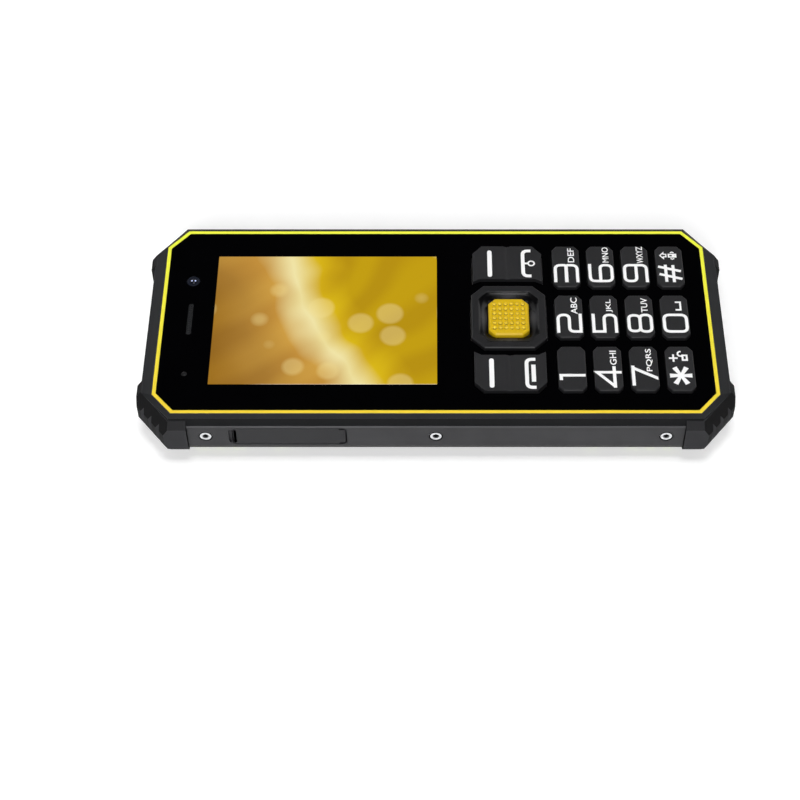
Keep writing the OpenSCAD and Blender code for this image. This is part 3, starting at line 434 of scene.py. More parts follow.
def stage_material(name, glow):
    """White paper, whose glow grows with the distance from the object, where the lamps no longer reach."""
    m, tree, bsdf, place = new_material(name)
    tree.links.new(ramp(tree, noise(tree, place, PAPER_PER_MM), PAPER), bsdf.inputs["Base Color"])
    bsdf.inputs["Roughness"].default_value = PAPER_ROUGH
    bsdf.inputs["Specular IOR Level"].default_value = PAPER_LEVEL
    rays = tree.nodes.new("ShaderNodeLightPath")
    seen = rays.outputs["Is Camera Ray"]
    for other in ("Is Glossy Ray", "Is Transmission Ray"):
        top = tree.nodes.new("ShaderNodeMath")
        top.operation = "MAXIMUM"
        tree.links.new(seen, top.inputs[0])
        tree.links.new(rays.outputs[other], top.inputs[1])
        seen = top.outputs[0]
    bsdf.inputs["Emission Color"].default_value = (1, 1, 1, 1)
    reach = tree.nodes.new("ShaderNodeVectorMath")
    reach.operation = "LENGTH"
    tree.links.new(place, reach.inputs[0])
    strength = tree.nodes.new("ShaderNodeMath")
    strength.operation = "MULTIPLY"
    tree.links.new(seen, strength.inputs[0])
    tree.links.new(remap(tree, reach.outputs["Value"], *glow, GLOW_FROM, GLOW_TO), strength.inputs[1])
    tree.links.new(strength.outputs[0], bsdf.inputs["Emission Strength"])
    return m


def round_row(bm, height):
    turns = [2 * math.pi * i / STAGE_STEPS for i in range(STAGE_STEPS)]
    return [bm.verts.new((STAGE_R * math.cos(a), STAGE_R * math.sin(a), height)) for a in turns]


def stage_piece(name, bm, glow):
    me = bpy.data.meshes.new(name)
    bm.to_mesh(me)
    bm.free()
    ob = bpy.data.objects.new(name, me)
    bpy.context.scene.collection.objects.link(ob)
    me.materials.append(stage_material(name + "_paper", glow))


def build_stage():
    bm = bmesh.new()
    bm.faces.new(round_row(bm, FLOOR_Z))
    stage_piece("floor", bm, FLOOR_GLOW)
    bm = bmesh.new()
    low, high = round_row(bm, FLOOR_Z), round_row(bm, WALL_H)
    for i in range(STAGE_STEPS):
        j = (i + 1) % STAGE_STEPS
        bm.faces.new((low[j], low[i], high[i], high[j]))
    stage_piece("backdrop", bm, WALL_GLOW)


def lamp(name, at, size, watts):
    data = bpy.data.lights.new(name, "AREA")
    data.shape = "SQUARE"
    data.size = size
    data.energy = watts
    ob = bpy.data.objects.new(name, data)
    bpy.context.scene.collection.objects.link(ob)
    ob.location = at
    ob.rotation_euler = (-Vector(at)).to_track_quat("-Z", "Y").to_euler()


build_stage()
for spec in LAMPS:
    lamp(*spec)
world = bpy.data.worlds.new("studio")
bpy.context.scene.world = world
world.use_nodes = True
world.node_tree.nodes["Background"].inputs["Color"].default_value = WORLD_TINT
world.node_tree.nodes["Background"].inputs["Strength"].default_value = 1.0

# Bevel width in millimetres and the CAD nodes that wear each material
DRESS = {
    "bezel": (0.14, ["front_bezel"]),
    "shell": (0.14, ["rear_housing", "torch_hood", "camera_plate", "speaker_plate", "battery_door"]),
    "pad": (0.16, ["corner_bumpers"]),
    "grip": (0.12, ["grip_strips"]),
    "rail": (0.12, ["left_rail", "right_rail"]),
    "cover": (0.10, ["card_cover", "usb_cover"]),
    "ring": (0.06, ["accent_ring"]),
    "lime": (0.06, ["camera_ring", "grip_trim", "accent_bars"]),
    "panel": (0.05, ["front_panel"]),
    "key": (0.07, KEY_NAMES),
    "rocker": (0.18, ["left_rocker", "right_rocker"]),
    "nav": (0.07, ["nav_ring", "nav_carrier"]),
    "ok": (0.06, ["ok_key"]),
    "steel": (0.08, ["side_screws", "shield_cans", "usb_socket", "card_socket"]),
    "dark_steel": (0.06, ["plate_screws"]),
    "chassis": (0, ["mid_chassis"]),
    "seal": (0, ["keypad_mat"]),
    "gasket": (0, ["housing_gasket"]),
    "board": (0, ["main_board"]),
    "film": (0, ["dome_sheet"]),
    "cell": (0.2, ["battery_pack"]),
    "tin": (0.1, ["loudspeaker", "earpiece_receiver", "microphones", "vibration_motor", "vibration_weight"]),
    "copper": (0, ["antenna"]),
    "mesh": (0, ["earpiece_mesh"]),
    "badge": (0.08, ["badge_inlay"]),
    "lens_rim": (0.05, ["front_camera", "rear_camera"]),
    "window": (0.05, ["camera_window"]),
    "lamp": (0.05, ["torch_lens"]),
    "flash": (0.05, ["flash_lens"]),
    "led": (0.05, ["indicator_lens"]),
    "screen": (0, ["display_module"]),
}
# Weld distance in metres, and the angles up to which faces count as flat and edges stay unbevelled
WELD_M = 2e-6
FLAT_ANGLE = math.radians(0.5)
EDGE_ANGLE = math.radians(24)
# Nodes whose flat faces are not joined before the bevel
KEEP_TRIANGLES = {"nav_ring", "nav_carrier", "accent_ring", "camera_ring", "side_screws"}


def soften(ob, width_mm, join_flat):
    weld = ob.modifiers.new("weld", "WELD")
    weld.merge_threshold = WELD_M
    if join_flat:
        flat = ob.modifiers.new("flat", "DECIMATE")
        flat.decimate_type = "DISSOLVE"
        flat.angle_limit = FLAT_ANGLE
    if width_mm:
        bevel = ob.modifiers.new("bevel", "BEVEL")
        bevel.limit_method = "ANGLE"
        bevel.angle_limit = EDGE_ANGLE
        bevel.width = width_mm * MM
        bevel.segments = 2
        bevel.use_clamp_overlap = True
        bevel.miter_outer = "MITER_ARC"
    even = ob.modifiers.new("even", "WEIGHTED_NORMAL")
    even.keep_sharp = False


for key, (width, names) in DRESS.items():
    for n in names:
        NODES[n].data.materials.clear()
        NODES[n].data.materials.append(M[key])
        soften(NODES[n], width, n not in KEEP_TRIANGLES)


def place_piece(name, bm, body, material):
    """New piece from a mesh in metres, riding a body."""
    me = bpy.data.meshes.new(name)
    bmesh.ops.recalc_face_normals(bm, faces=bm.faces)
    bm.to_mesh(me)
    bm.free()
    me.materials.append(M[material])
    ob = bpy.data.objects.new(name, me)
    bpy.context.scene.collection.objects.link(ob)
    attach(ob, body)
    return ob


def rounded(corners, steps=7):
    """Line through [x, y, radius] corners with its bends rounded off."""
    out = []
    for i, (x, y, r) in enumerate(corners):
        if i in (0, len(corners) - 1) or r == 0:
            out.append(Vector((x, y)))
            continue
        here = Vector((x, y))
        back = Vector(corners[i - 1][:2]) - here
        ahead = Vector(corners[i + 1][:2]) - here
        a, b = here + back.normalized() * r, here + ahead.normalized() * r
        for k in range(steps + 1):
            t = k / steps
            out.append(a.lerp(here, t).lerp(here.lerp(b, t), t))
    return out


def loop(x0, x1, y0, y1, r):
    """Closed rounded rectangle, as a line."""
    mid = (y0 + y1) / 2
    pts = rounded([(x0, mid, 0), (x0, y1, r), (x1, y1, r), (x1, y0, r), (x0, y0, r), (x0, mid, 0)])
    return pts[:-1]


# Least cosine at a bend, so that a sharp corner of a stroke doesn't run out to a spike
MITRE_MIN = 0.42


def ribbon(bm, pts, width, z0, z1, closed=False):
    """Solid flat stroke of one width along a line, in millimetres."""
    n = len(pts)
    rows = []
    for i, p in enumerate(pts):
        a = pts[i - 1] if (i or closed) else p
        b = pts[(i + 1) % n] if (i < n - 1 or closed) else p
        d0 = (p - a).normalized() if p != a else (b - p).normalized()
        d1 = (b - p).normalized() if b != p else d0
        side = Vector((-(d0.y + d1.y), d0.x + d1.x)).normalized()
        reach = width / 2 / max(MITRE_MIN, side.dot(Vector((-d0.y, d0.x))))
        l, r = p + side * reach, p - side * reach
        rows.append([bm.verts.new((q.x * MM, q.y * MM, z * MM)) for z in (z0, z1) for q in (l, r)])
    for i in range(n if closed else n - 1):
        a, b = rows[i], rows[(i + 1) % n]
        for s, t in ((0, 1), (1, 3), (3, 2), (2, 0)):
            bm.faces.new((a[s], a[t], b[t], b[s]))
    if not closed:
        for row in (rows[0], rows[-1]):
            bm.faces.new((row[0], row[1], row[3], row[2]))


def plate(bm, pts, z0, z1):
    """Solid flat plate with a convex or simple outline, in millimetres."""
    low = [bm.verts.new((p[0] * MM, p[1] * MM, z0 * MM)) for p in pts]
    top = [bm.verts.new((p[0] * MM, p[1] * MM, z1 * MM)) for p in pts]
    bm.faces.new(low)
    bm.faces.new(top)
    for i in range(len(pts)):
        j = (i + 1) % len(pts)
        bm.faces.new((low[i], low[j], top[j], top[i]))


def turned(bm, profile, at, toward=UP, steps=40):
    """Solid of revolution from [radius, height] points, set at a place and turned to a direction."""
    rows = []
    for r, h in profile:
        count = steps if r > 0 else 1
        turns = [2 * math.pi * i / count for i in range(count)]
        rows.append([bm.verts.new((r * MM * math.cos(a), r * MM * math.sin(a), h * MM)) for a in turns])
    for a, b in zip(rows, rows[1:]):
        for i in range(steps):
            j = (i + 1) % steps
            if len(a) == 1:
                bm.faces.new((a[0], b[i], b[j]))
            elif len(b) == 1:
                bm.faces.new((a[i], a[j], b[0]))
            else:
                bm.faces.new((a[i], a[j], b[j], b[i]))
    turn = Vector(UP).rotation_difference(Vector(toward))
    for row in rows:
        for v in row:
            v.co = turn @ v.co + Vector(at) * MM


# Steps in a letter's curves, how far its strokes swell, and the distance that joins its points
LETTER_CURVE, LETTER_SWELL = 3, 0.010
WELD_LETTER_M = 1e-7


def lettering(bm, text, x, y, height, width, z0, z1):
    """Plain capital letters as thin solids, centred on x, y."""
    data = bpy.data.curves.new("lettering", "FONT")
    data.body = text
    data.align_x = "CENTER"
    data.align_y = "CENTER"
    data.size = 1.0
    data.resolution_u = LETTER_CURVE
    data.offset = LETTER_SWELL
    data.extrude = 0.5
    ob = bpy.data.objects.new("lettering", data)
    bpy.context.scene.collection.objects.link(ob)
    bpy.context.view_layer.update()
    me = bpy.data.meshes.new_from_object(ob.evaluated_get(bpy.context.evaluated_depsgraph_get()))
    bpy.data.objects.remove(ob)
    bpy.data.curves.remove(data)
    xs = [v.co.x for v in me.vertices]
    ys = [v.co.y for v in me.vertices]
    for v in me.vertices:
        u = (v.co.x - min(xs)) / (max(xs) - min(xs)) - 0.5
        w = (v.co.y - min(ys)) / (max(ys) - min(ys)) - 0.5
        v.co = ((x + u * width) * MM, (y + w * height) * MM, (z0 if v.co.z < 0 else z1) * MM)
    bm.from_mesh(me)
    bpy.data.meshes.remove(me)
    bmesh.ops.remove_doubles(bm, verts=bm.verts, dist=WELD_LETTER_M)


def smooth(ob):
    ob.data.shade_smooth()
    return ob


def spin(name, profile, at, material, toward=UP, steps=40):
    """Turned piece that rides the handset."""
    bm = bmesh.new()
    turned(bm, profile, at, toward, steps)
    return place_piece(name, bm, "handset", material)


# Digits: half size of the stroke's middle line, stroke width and place on the key
DIGIT_X, DIGIT_Y = 2.37, 2.45
STROKE, HASH_STROKE = 0.70, 0.68
HALF = STROKE / 2
DIGIT_OFF = -2.05
L, R, B, T = -DIGIT_X, DIGIT_X, -DIGIT_Y, DIGIT_Y

# Lines of each digit through [x, y, radius] corners
STROKES = {
    "key_1": [[(-1.22, T, 0), (0.08, T, 0), (0.08, B - HALF, 0)]],
    "key_2": [[(L - HALF, T, 0), (R, T, 1.3), (R, 0, 1.1), (L, 0, 1.1), (L, B, 0), (R + HALF, B, 0)]],
    "key_3": [[(L - HALF, T, 0), (R, T, 1.3), (R, 0.04, 0.5), (L - HALF, 0.04, 0)],
              [(L - HALF, B, 0), (R, B, 1.3), (R, -0.04, 0.5), (L - HALF, -0.04, 0)]],
    "key_4": [[(0.9, B - HALF, 0), (0.9, T, 0), (-2.95, -1.25, 0)],
              [(-3.3, -1.25, 0), (2.55, -1.25, 0)]],
    "key_5": [[(R + HALF, T, 0), (L, T, 0), (L, 0.1, 0), (R, 0.1, 1.2), (R, B, 1.3), (L - HALF, B, 0)]],
    "key_6": [[(R + HALF, T, 0), (L, T, 1.2), (L, B, 1.2), (0, B, 0)],
              [(0, B, 0), (R, B, 1.2), (R, 0.15, 1.1), (L, 0.15, 0)]],
    "key_7": [[(L - HALF, T, 0), (R + HALF, T, 0)]],
    "key_9": [[(L - HALF, B, 0), (R, B, 1.2), (R, T, 1.2), (0, T, 0)],
              [(0, T, 0), (L, T, 1.2), (L, -0.15, 1.1), (R, -0.15, 0)]],
    "key_hash": [[(1.95, 2.6, 0), (0.55, -2.4, 0)], [(-0.28, 2.45, 0), (-1.74, -2.58, 0)],
                 [(-2.6, 0.95, 0), (2.5, 0.95, 0)], [(-2.7, -0.73, 0), (2.4, -0.73, 0)]],
}
# Closed loops of a digit: x and y from and to, and corner radius
LOOPS = {
    "key_8": [(L + 0.12, R - 0.12, 0, T, 1.15), (L, R, B, 0, 1.15)],
    "key_0": [(L, R, B, T, 1.25)],
}
# Slanting leg of the seven: x of its two top and two bottom corners
SEVEN_LEG = (1.88, R + HALF, -0.35, -1.19)
# Star: reach of the arms, half width at the root and at the tip
STAR_ARMS = 6
STAR_REACH, STAR_ROOT, STAR_TIP = (2.4, 2.6, 2.6), 0.30, 0.56

# Letters of each key, with their place across the key and their width
LETTERS = {"key_2": ("ABC", 2.98, 4.7), "key_3": ("DEF", 3.30, 4.25), "key_4": ("GHI", 2.87, 3.9),
           "key_5": ("JKL", 2.98, 3.75), "key_6": ("MNO", 3.42, 4.6), "key_7": ("PQRS", 2.25, 6.2),
           "key_8": ("TUV", 3.15, 4.15), "key_9": ("WXYZ", 3.40, 5.0)}
LETTER_Y, LETTER_H = -1.2, 1.45

# Small signs beside the star, nought and hash: line, width, closed or not, and layers below the top
FINE = 0.42
SIGNS = {
    "key_star": [([(1.75, 1.30), (3.80, 1.30)], FINE, False, 0),
                 ([(2.77, 0.35), (2.77, 2.25)], FINE, False, 3),
                 ([(2.22, -0.70), (3.54, -0.70), (3.54, -1.60), (2.22, -1.60)], FINE, True, 0),
                 ([(3.30, -0.60), (3.38, 0.05), (3.75, 0.32), (4.20, 0.28), (4.50, 0.02), (4.62, -0.40)],
                  0.38, False, 3)],
    "key_0": [([(1.8, -0.3), (1.8, -1.42), (4.0, -1.42), (4.0, -0.3)], FINE, False, 0)],
    "key_hash": [([(3.23, 1.95), (2.35, 1.2), (2.85, 1.2), (2.85, 0.6), (3.6, 0.6), (3.6, 1.2), (4.1, 1.2)],
                  0.28, True, 0),
                 ([(2.8, -1.6), (3.6, -1.6), (3.6, 0.0), (2.8, 0.0)], 0.34, True, 0),
                 ([(3.2, -1.4), (3.2, -0.75)], 0.46, False, 0),
                 ([(2.35, -1.2), (2.1, -0.8), (2.35, -0.4)], 0.26, False, 0),
                 ([(4.05, -1.2), (4.3, -0.8), (4.05, -0.4)], 0.26, False, 0)],
}


def star_sign(bm, x, y, z0, z1):
    """Star of the star key, with arms that widen outwards."""
    mid = Vector((x, y))
    for i in range(STAR_ARMS):
        a = math.radians(90 + 360 / STAR_ARMS * i)
        along, side = Vector((math.cos(a), math.sin(a))), Vector((-math.sin(a), math.cos(a)))
        tip = mid + along * STAR_REACH[i % 3]
        plate(bm, [mid + side * STAR_ROOT, mid - side * STAR_ROOT,
                   tip - side * STAR_TIP, tip + side * STAR_TIP], z0, z1 - 2 * LAYER * i)


def legend(name):
    """Digit, letters and signs on a number key."""
    bm = bmesh.new()
    c = centre_of(name)
    z0, z1 = KEY_TOP - SINK, KEY_TOP + LEGEND_T
    x, y = c.x + DIGIT_OFF, c.y
    for i, corners in enumerate(STROKES.get(name, [])):
        pts = rounded([(x + a, y + b, r) for a, b, r in corners])
        ribbon(bm, pts, HASH_STROKE if name == "key_hash" else STROKE, z0, z1 - 3 * LAYER * i)
    for i, (x0, x1, y0, y1, r) in enumerate(LOOPS.get(name, [])):
        ribbon(bm, loop(x + x0, x + x1, y + y0, y + y1, r), STROKE, z0, z1 - 3 * LAYER * i, closed=True)
    if name == "key_star":
        star_sign(bm, x, y, z0, z1)
    if name == "key_7":
        ends = (y + T + HALF, y + T + HALF, y + B - HALF, y + B - HALF)
        plate(bm, [(x + a, b) for a, b in zip(SEVEN_LEG, ends)], z0, z1 - 3 * LAYER)
    if name in LETTERS:
        text, off, width = LETTERS[name]
        lettering(bm, text, c.x + off, c.y + LETTER_Y, LETTER_H, width, z0, z1 - 6 * LAYER)
    for pts, width, closed, layers in SIGNS.get(name, []):
        ribbon(bm, [Vector((c.x + a, c.y + b)) for a, b in pts], width, z0, z1 - layers * LAYER, closed)
    place_piece("legend_" + name, bm, name + "_body", "ink")


for n in KEY_NAMES:
    legend(n)

# Rocker signs: a bar for each soft key, a handset shape for answering and one for ending
CAP_STEPS, RING_STEPS = 12, 28
SIGN_LINE, BRACKET_R = 0.82, 1.2
POWER_R, POWER_DROP, POWER_STEM, POWER_LINE = 0.68, 2.27, 0.5, 0.36


def rocker_signs(name, bar, spine, inner):
    """Bar and bracket given as low and high corners, with either an inner bar or a power sign."""
    bm = bmesh.new()
    z0, z1 = KEY_TOP - SINK, KEY_TOP + LEGEND_T
    x0, y0, x1, y1 = bar
    cap, mid = (y1 - y0) / 2, (y0 + y1) / 2
    outline = []
    for k, cx in enumerate((x0 + cap, x1 - cap)):
        for i in range(CAP_STEPS + 1):
            a = math.radians(90 + 180 * k + 180 * i / CAP_STEPS)
            outline.append((cx + cap * math.cos(a), mid + cap * math.sin(a)))
    plate(bm, outline, z0, z1)
    x0, y0, x1, y1 = spine
    half = SIGN_LINE / 2
    ribbon(bm, rounded([(x0 + half, y0, 0), (x0 + half, y1 - half, BRACKET_R),
                        (x1 - half, y1 - half, BRACKET_R), (x1 - half, y0, 0)]), SIGN_LINE, z0, z1)
    if inner:
        x0, y0, x1, y1 = inner
        plate(bm, [(x0, y0), (x1, y0), (x1, y1), (x0, y1)], z0, z1)
    else:
        cx, cy = (x0 + x1) / 2, y1 - POWER_DROP
        ribbon(bm, [Vector((cx, y1 - half)), Vector((cx, cy + POWER_R))], POWER_STEM, z0, z1 - 4 * LAYER)
        ring = [Vector((cx + POWER_R * math.cos(2 * math.pi * i / RING_STEPS),
                        cy + POWER_R * math.sin(2 * math.pi * i / RING_STEPS))) for i in range(RING_STEPS)]
        ribbon(bm, ring, POWER_LINE, z0, z1 - 2 * LAYER, closed=True)
    place_piece("legend_" + name, bm, name + "_body", "ink")


rocker_signs("right_rocker", (11.52, -12.63, 19.44, -11.62), (11.36, -21.40, 19.71, -19.17), None)
rocker_signs("left_rocker", (-20.05, -12.48, -12.01, -11.45), (-20.35, -21.42, -11.83, -19.07),
             (-18.4, -21.40, -13.72, -20.47))

# Round pimples on the middle key
DOTS = 6
DOT_PITCH_X, DOT_PITCH_Y, DOT_R, DOT_H, DOT_STEPS = 1.36, 1.26, 0.47, 0.32, 14
DOT = [(0, -0.02), (DOT_R, 0), (DOT_R * 0.86, DOT_H * 0.55), (DOT_R * 0.5, DOT_H * 0.9), (0, DOT_H)]


def ok_dots():
    bm = bmesh.new()
    mid = centre_of("ok_key")
    for i in range(DOTS):
        for j in range(DOTS):
            spot = (mid.x + (i - (DOTS - 1) / 2) * DOT_PITCH_X, mid.y + (j - (DOTS - 1) / 2) * DOT_PITCH_Y,
                    KEY_TOP - SINK)
            turned(bm, DOT, spot, steps=DOT_STEPS)
    smooth(place_piece("ok_dots", bm, "ok_key_body", "dot"))


ok_dots()

# Gloss well of the navigation ring: from its eight-sided mouth to a soft rounded hole
# Mouth: half sizes and the cuts of its corners; hole: half sizes
MOUTH = (7.1, 6.6, 2.1, 2.1)
HOLE = (5.48, 4.72)
WELL_TOP, WELL_FOOT, WELL_UNDER = KEY_TOP - 0.004, KEY_TOP - 0.93, KEY_TOP - 1.3
WELL_SWELL = 0.03
WELL_ROWS, WELL_STEPS = 12, 96
SOFT_RATE, SOFT_POWER, SOFT_GAIN = 3, 3.2, 2.3
WELL_SHARP = math.radians(50)
TINY = 1e-9


def mouth_reach(a):
    """Distance from the middle to the eight-sided mouth in a direction."""
    u, v = abs(math.cos(a)), abs(math.sin(a))
    hx, hy, cut_x, cut_y = MOUTH
    slant = (cut_y * hx + cut_x * (hy - cut_y)) / (cut_y * u + cut_x * v)
    return min(hx / max(u, TINY), hy / max(v, TINY), slant)


def soft_reach(a, hx, hy, power):
    """Distance from the middle to a soft-cornered outline in a direction."""
    u, v = abs(math.cos(a)) / hx, abs(math.sin(a)) / hy
    return (u ** power + v ** power) ** (-1 / power)


def nav_well():
    bm = bmesh.new()
    mid = centre_of("nav_ring")
    turns = [2 * math.pi * i / WELL_STEPS for i in range(WELL_STEPS)]
    rows = []
    for k in range(WELL_ROWS + 1):
        t = k / WELL_ROWS
        hx, hy = (m + (h - m) * t for m, h in zip(MOUTH, HOLE))
        soft, power = min(1.0, SOFT_RATE * t), SOFT_POWER + SOFT_GAIN * t
        height = WELL_TOP + (WELL_FOOT - WELL_TOP) * t + WELL_SWELL * math.sin(math.pi * t)
        rows.append([(a, (1 - soft) * mouth_reach(a) + soft * soft_reach(a, hx, hy, power), height)
                     for a in turns])
    rows.append([(a, r, WELL_UNDER) for a, r, _ in rows[-1]])
    rows.append([(a, r, WELL_UNDER) for a, r, _ in rows[0]])
    rings = [[bm.verts.new(((mid.x + r * math.cos(a)) * MM, (mid.y + r * math.sin(a)) * MM, z * MM))
              for a, r, z in row] for row in rows]
    for k, ring in enumerate(rings):
        after = rings[(k + 1) % len(rings)]
        for i in range(WELL_STEPS):
            j = (i + 1) % WELL_STEPS
            bm.faces.new((ring[i], ring[j], after[j], after[i]))
    ob = smooth(place_piece("nav_well", bm, "nav_ring_body", "well"))
    ob.data.set_sharp_from_angle(angle=WELL_SHARP)


nav_well()

# Front camera and indicator, as [radius, height] profiles
FRONT_BARREL = [(0, -0.02), (1.4, -0.02), (1.4, 0.03), (1.22, 0.05), (1.16, 0.01), (0.92, -0.005), (0.9, 0.03),
                (0.8, 0.03), (0.78, 0.0), (0, 0.0)]
FRONT_DOME = [(0, -0.01), (0.72, -0.01), (0.66, 0.05), (0.5, 0.1), (0.26, 0.14), (0, 0.15)]
INDICATOR = [(0, -0.01), (0.55, -0.01), (0.5, 0.03), (0.3, 0.06), (0, 0.07)]
INDICATOR_STEPS = 24
# Painted reflections: two glowing dots on the front lens, as a profile, their place and steps
GLINT = [(0, 0), (0.19, 0), (0.15, 0.06), (0, 0.08)]
GLINT_X, GLINT_Y, GLINT_Z, GLINT_STEPS = 0.05, (-0.42, 0.34), 0.11, 12


def lens_glints():
    """Two glowing dots on the front lens: painted reflections."""
    bm = bmesh.new()
    x, y, z = side_mid("front_camera", UP)
    for dy in GLINT_Y:
        turned(bm, GLINT, (x + GLINT_X, y + dy, z + GLINT_Z), steps=GLINT_STEPS)
    smooth(place_piece("front_lens_painted_glint", bm, "handset", "painted_glint"))


spin("front_lens_barrel", FRONT_BARREL, side_mid("front_camera", UP), "lens_rim")
smooth(spin("front_lens", FRONT_DOME, side_mid("front_camera", UP), "lens"))
lens_glints()
smooth(spin("indicator_dome", INDICATOR, side_mid("indicator_lens", UP), "led",
            steps=INDICATOR_STEPS))

# Wire mesh over the earpiece
WIRE_PITCH, WIRE_SINK = 0.62, 0.02
CROSS_W, CROSS_H = 0.14, 0.1
LONG_W, LONG_H, LONG_AT = 0.12, 0.13, (-0.55, 0.0, 0.55)
WIRE_ROOM_X, WIRE_ROOM_Y, END_SHARE = 0.15, 0.1, 0.6


def earpiece_wires():
    bm = bmesh.new()
    mid_x, mid_y, top = side_mid("earpiece_mesh", UP)
    low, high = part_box("earpiece_mesh")
    half_x, half_y = (high.x - low.x) / 2 / MM - WIRE_ROOM_X, (high.y - low.y) / 2 / MM - WIRE_ROOM_Y
    count = int(2 * half_x / WIRE_PITCH)
    for i in range(count + 1):
        x = mid_x - half_x + 2 * half_x * i / count
        room = half_y if abs(x - mid_x) < half_x - half_y else half_y * END_SHARE
        ribbon(bm, [Vector((x, mid_y - room)), Vector((x, mid_y + room))], CROSS_W,
               top - WIRE_SINK, top + CROSS_H)
    for k in LONG_AT:
        y = mid_y + k * half_y
        ribbon(bm, [Vector((mid_x - half_x, y)), Vector((mid_x + half_x, y))], LONG_W,
               top - WIRE_SINK, top + LONG_H)
    place_piece("earpiece_wires", bm, "handset", "wire")


earpiece_wires()

# Painted shade in each side screw: a dark plate in its hexagon socket and a dark ring round its seat, where
# the recess and the gap would be in shade
SCREW_Y, SOCKET_R, SOCKET_X, HEAD_X = 49.05, 0.7, 27.62, 27.95
SOCKET = [(0, 0), (SOCKET_R, 0), (SOCKET_R, 0.08), (SOCKET_R * 0.55, 0.06), (0, 0.02)]
SEAT = [(1.21, -0.02), (1.48, -0.02), (1.47, 0.035), (1.23, 0.025), (1.21, -0.02)]
SOCKET_SIDES, SEAT_STEPS = 6, 36


def screw_painted_shade():
    bm = bmesh.new()
    z = centre_of("left_rail").z
    for side in (-1, 1):
        for y in (-SCREW_Y, 0, SCREW_Y):
            turned(bm, SOCKET, (side * SOCKET_X, y, z), (side, 0, 0), SOCKET_SIDES)
            turned(bm, SEAT, (side * HEAD_X, y, z), (side, 0, 0), SEAT_STEPS)
    place_piece("screw_painted_shade", bm, "handset", "socket")


screw_painted_shade()

# Ribs on both ends of the socket cover
RIBS, RIB_FROM, RIB_STEP, RIB_SINK, RIB_STEPS = 4, 2.9, 0.55, 0.05, 12
RIB_LEN = 3.0
RIB = [(0, 0), (0.17, 0.06), (0.2, 0.2), (0.2, RIB_LEN - 0.2), (0.17, RIB_LEN - 0.06), (0, RIB_LEN)]


def cover_ribs():
    bm = bmesh.new()
    mid = centre_of("usb_cover")
    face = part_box("usb_cover")[1].x / MM
    for end in (-1, 1):
        for i in range(RIBS):
            spot = (face - RIB_SINK, mid.y + end * (RIB_FROM + RIB_STEP * i), mid.z - RIB_LEN / 2)
            turned(bm, RIB, spot, steps=RIB_STEPS)
    place_piece("usb_cover_ribs", bm, "usb_cover_body", "cover")


cover_ribs()


# Rear texture, set on the solids that carry it
BELOW_M = -0.02


def solid_of(node):
    me = NODES[node].data
    return BVHTree.FromPolygons([v.co.copy() for v in me.vertices], [tuple(p.vertices) for p in me.polygons])


def from_below(tree, x, y):
    """Place and facing of the solid met when looking up from underneath, in millimetres."""
    hit = tree.ray_cast(Vector((x * MM, y * MM, BELOW_M)), Vector(UP))
    return (hit[0] / MM, hit[1]) if hit[0] else (None, None)


# Three-armed stars over the battery door, clear of its badge and plain field
ARM_REACH, NOTCH_REACH, ARM_H, ARM_SINK = 0.94, 0.44 * 0.62, 0.22, 0.02
CREST_SHARE = 0.8
ARM_PITCH, ARM_ROW = 1.72, 1.24
DOOR_Z, DOOR_FLAT = 0.3, 0.02
CLEAR_R, CLEAR_SPOTS = 1.25, 8


def on_door(door, x, y):
    """Whether the door is flat all round a place."""
    for i in range(CLEAR_SPOTS):
        a = 2 * math.pi * i / CLEAR_SPOTS
        spot, _ = from_below(door, x + CLEAR_R * math.cos(a), y + CLEAR_R * math.sin(a))
        if spot is None or abs(spot.z - DOOR_Z) > DOOR_FLAT:
            return False
    return True


def door_star(bm, x, y):
    top = bm.verts.new((x * MM, y * MM, (DOOR_Z - ARM_H) * MM))
    foot = []
    for i in range(3):
        a, b = math.radians(120 * i), math.radians(120 * i + 60)
        foot += [(x + ARM_REACH * math.cos(a), y + ARM_REACH * math.sin(a)),
                 (x + NOTCH_REACH * math.cos(b), y + NOTCH_REACH * math.sin(b))]
    base = [bm.verts.new((u * MM, v * MM, (DOOR_Z + ARM_SINK) * MM)) for u, v in foot]
    ridge = [bm.verts.new(((x + (u - x) * CREST_SHARE) * MM, (y + (v - y) * CREST_SHARE) * MM,
                           (DOOR_Z - ARM_H * CREST_SHARE) * MM)) for u, v in foot[::2]]
    for i, crest in enumerate(ridge):
        tip, after, before = base[2 * i], base[2 * i + 1], base[2 * i - 1]
        for corners in ((tip, after, crest), (before, tip, crest), (after, top, crest), (top, before, crest)):
            bm.faces.new(corners)
    bm.faces.new(base)


def door_stars():
    bm = bmesh.new()
    door = solid_of("battery_door")
    low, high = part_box("battery_door")
    row, y = 0, low.y / MM
    while y < high.y / MM:
        x = low.x / MM + (ARM_PITCH / 2 if row % 2 else 0)
        while x < high.x / MM:
            if on_door(door, x, y):
                door_star(bm, x, y)
            x += ARM_PITCH
        y += ARM_ROW
        row += 1
    place_piece("door_stars", bm, "handset", "shell")


door_stars()

# Honeycomb over the two sloping grips
CELL_Y, CELL_R, CELL_H, CELL_SINK = 2.2, 1.02, 0.14, 0.02
CELL_ROWS, CELL_FROM, CELL_ROW = 6, 19.4, CELL_Y * 0.866 * 0.98
CELL_TOP_SHARE, CELL_FACING = 0.72, -0.9


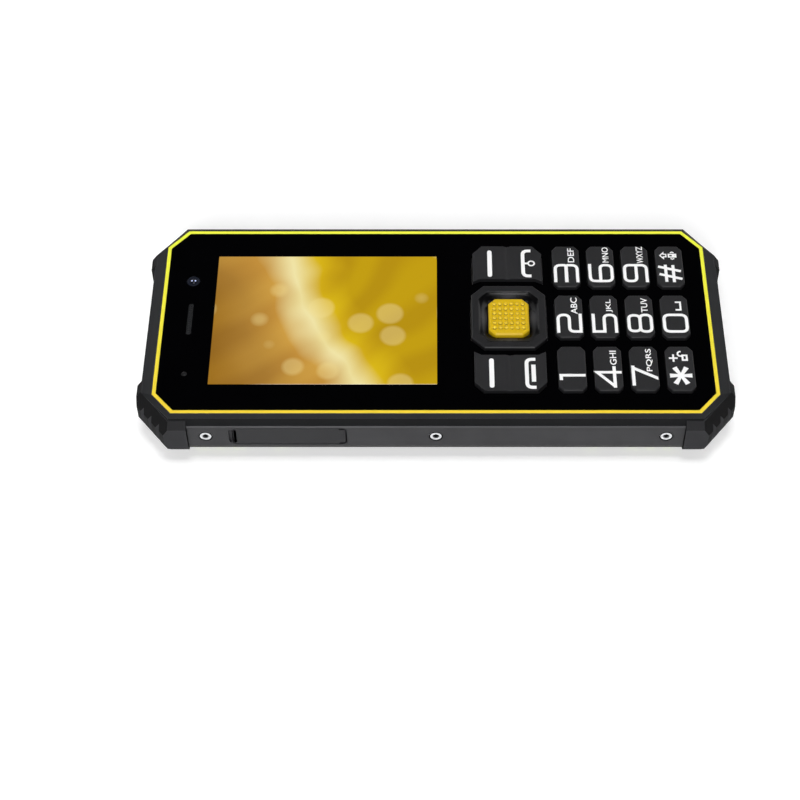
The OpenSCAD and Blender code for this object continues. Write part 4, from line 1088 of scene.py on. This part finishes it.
def grip_cell(bm, grips, x, y):
    spots = []
    for i in range(6):
        a = math.radians(60 * i + 30)
        spot, out = from_below(grips, x + CELL_R * math.cos(a), y + CELL_R * math.sin(a))
        if spot is None or out.z > CELL_FACING:
            return
        spots.append(spot)
    mid = sum(spots, Vector()) / 6
    out = out.normalized()
    foot = [bm.verts.new((p - out * CELL_SINK) * MM) for p in spots]
    rim = [bm.verts.new((mid + (p - mid) * CELL_TOP_SHARE + out * CELL_H) * MM) for p in spots]
    for i in range(6):
        j = (i + 1) % 6
        bm.faces.new((foot[i], foot[j], rim[j], rim[i]))
    bm.faces.new(rim)
    bm.faces.new(foot)


def grip_cells():
    bm = bmesh.new()
    grips = solid_of("grip_strips")
    low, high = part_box("grip_strips")
    for side in (-1, 1):
        for row in range(CELL_ROWS):
            x = side * (CELL_FROM + CELL_ROW * row)
            y = low.y / MM + (CELL_Y / 2 if row % 2 else 0)
            while y < high.y / MM:
                grip_cell(bm, grips, x, y)
                y += CELL_Y
    place_piece("grip_cells", bm, "handset", "grip")


grip_cells()

# Rear camera, flash and torch, as [radius, height] profiles
REAR_BARREL = [(0, -0.02), (2.9, -0.02), (2.9, 0.12), (2.5, 0.2), (2.35, 0.06), (1.95, 0.04), (1.9, 0.14),
               (1.6, 0.14), (1.5, 0.02), (0, 0.0)]
REAR_DOME = [(0, -0.01), (1.42, -0.01), (1.36, 0.08), (1.0, 0.18), (0.5, 0.24), (0, 0.26)]
FLASH_RINGS, FLASH_STEP = 6, 0.26
FLASH = [(0, -0.02), (1.62, -0.02)]
for k in reversed(range(FLASH_RINGS)):
    FLASH += [(FLASH_STEP * k + 0.24, 0.06), (FLASH_STEP * k + 0.10, 0.0)]
FLASH += [(0, 0.02)]
TORCH = [(0, -0.02), (2.1, -0.02), (2.1, 0.1), (1.9, 0.14), (1.55, 0.04), (1.0, 0.03), (0.85, 0.16),
         (0.5, 0.24), (0, 0.26)]
TORCH_BARREL = [(1.93, -0.01), (2.29, -0.01), (2.29, 0.16), (2.2, 0.22), (2.02, 0.2), (1.93, 0.1),
                (1.93, -0.01)]
BARREL_STEPS = 64

spin("rear_lens_barrel", REAR_BARREL, side_mid("rear_camera", DOWN), "lens_rim",
     DOWN, BARREL_STEPS)
smooth(spin("rear_lens", REAR_DOME, side_mid("rear_camera", DOWN), "lens", DOWN))
spin("flash_rings", FLASH, side_mid("flash_lens", DOWN), "flash_line", DOWN)
spin("torch_dome", TORCH, side_mid("torch_lens", HEAD), "lamp", HEAD)
spin("torch_barrel", TORCH_BARREL, side_mid("torch_lens", HEAD), "lens_rim",
     HEAD, BARREL_STEPS)
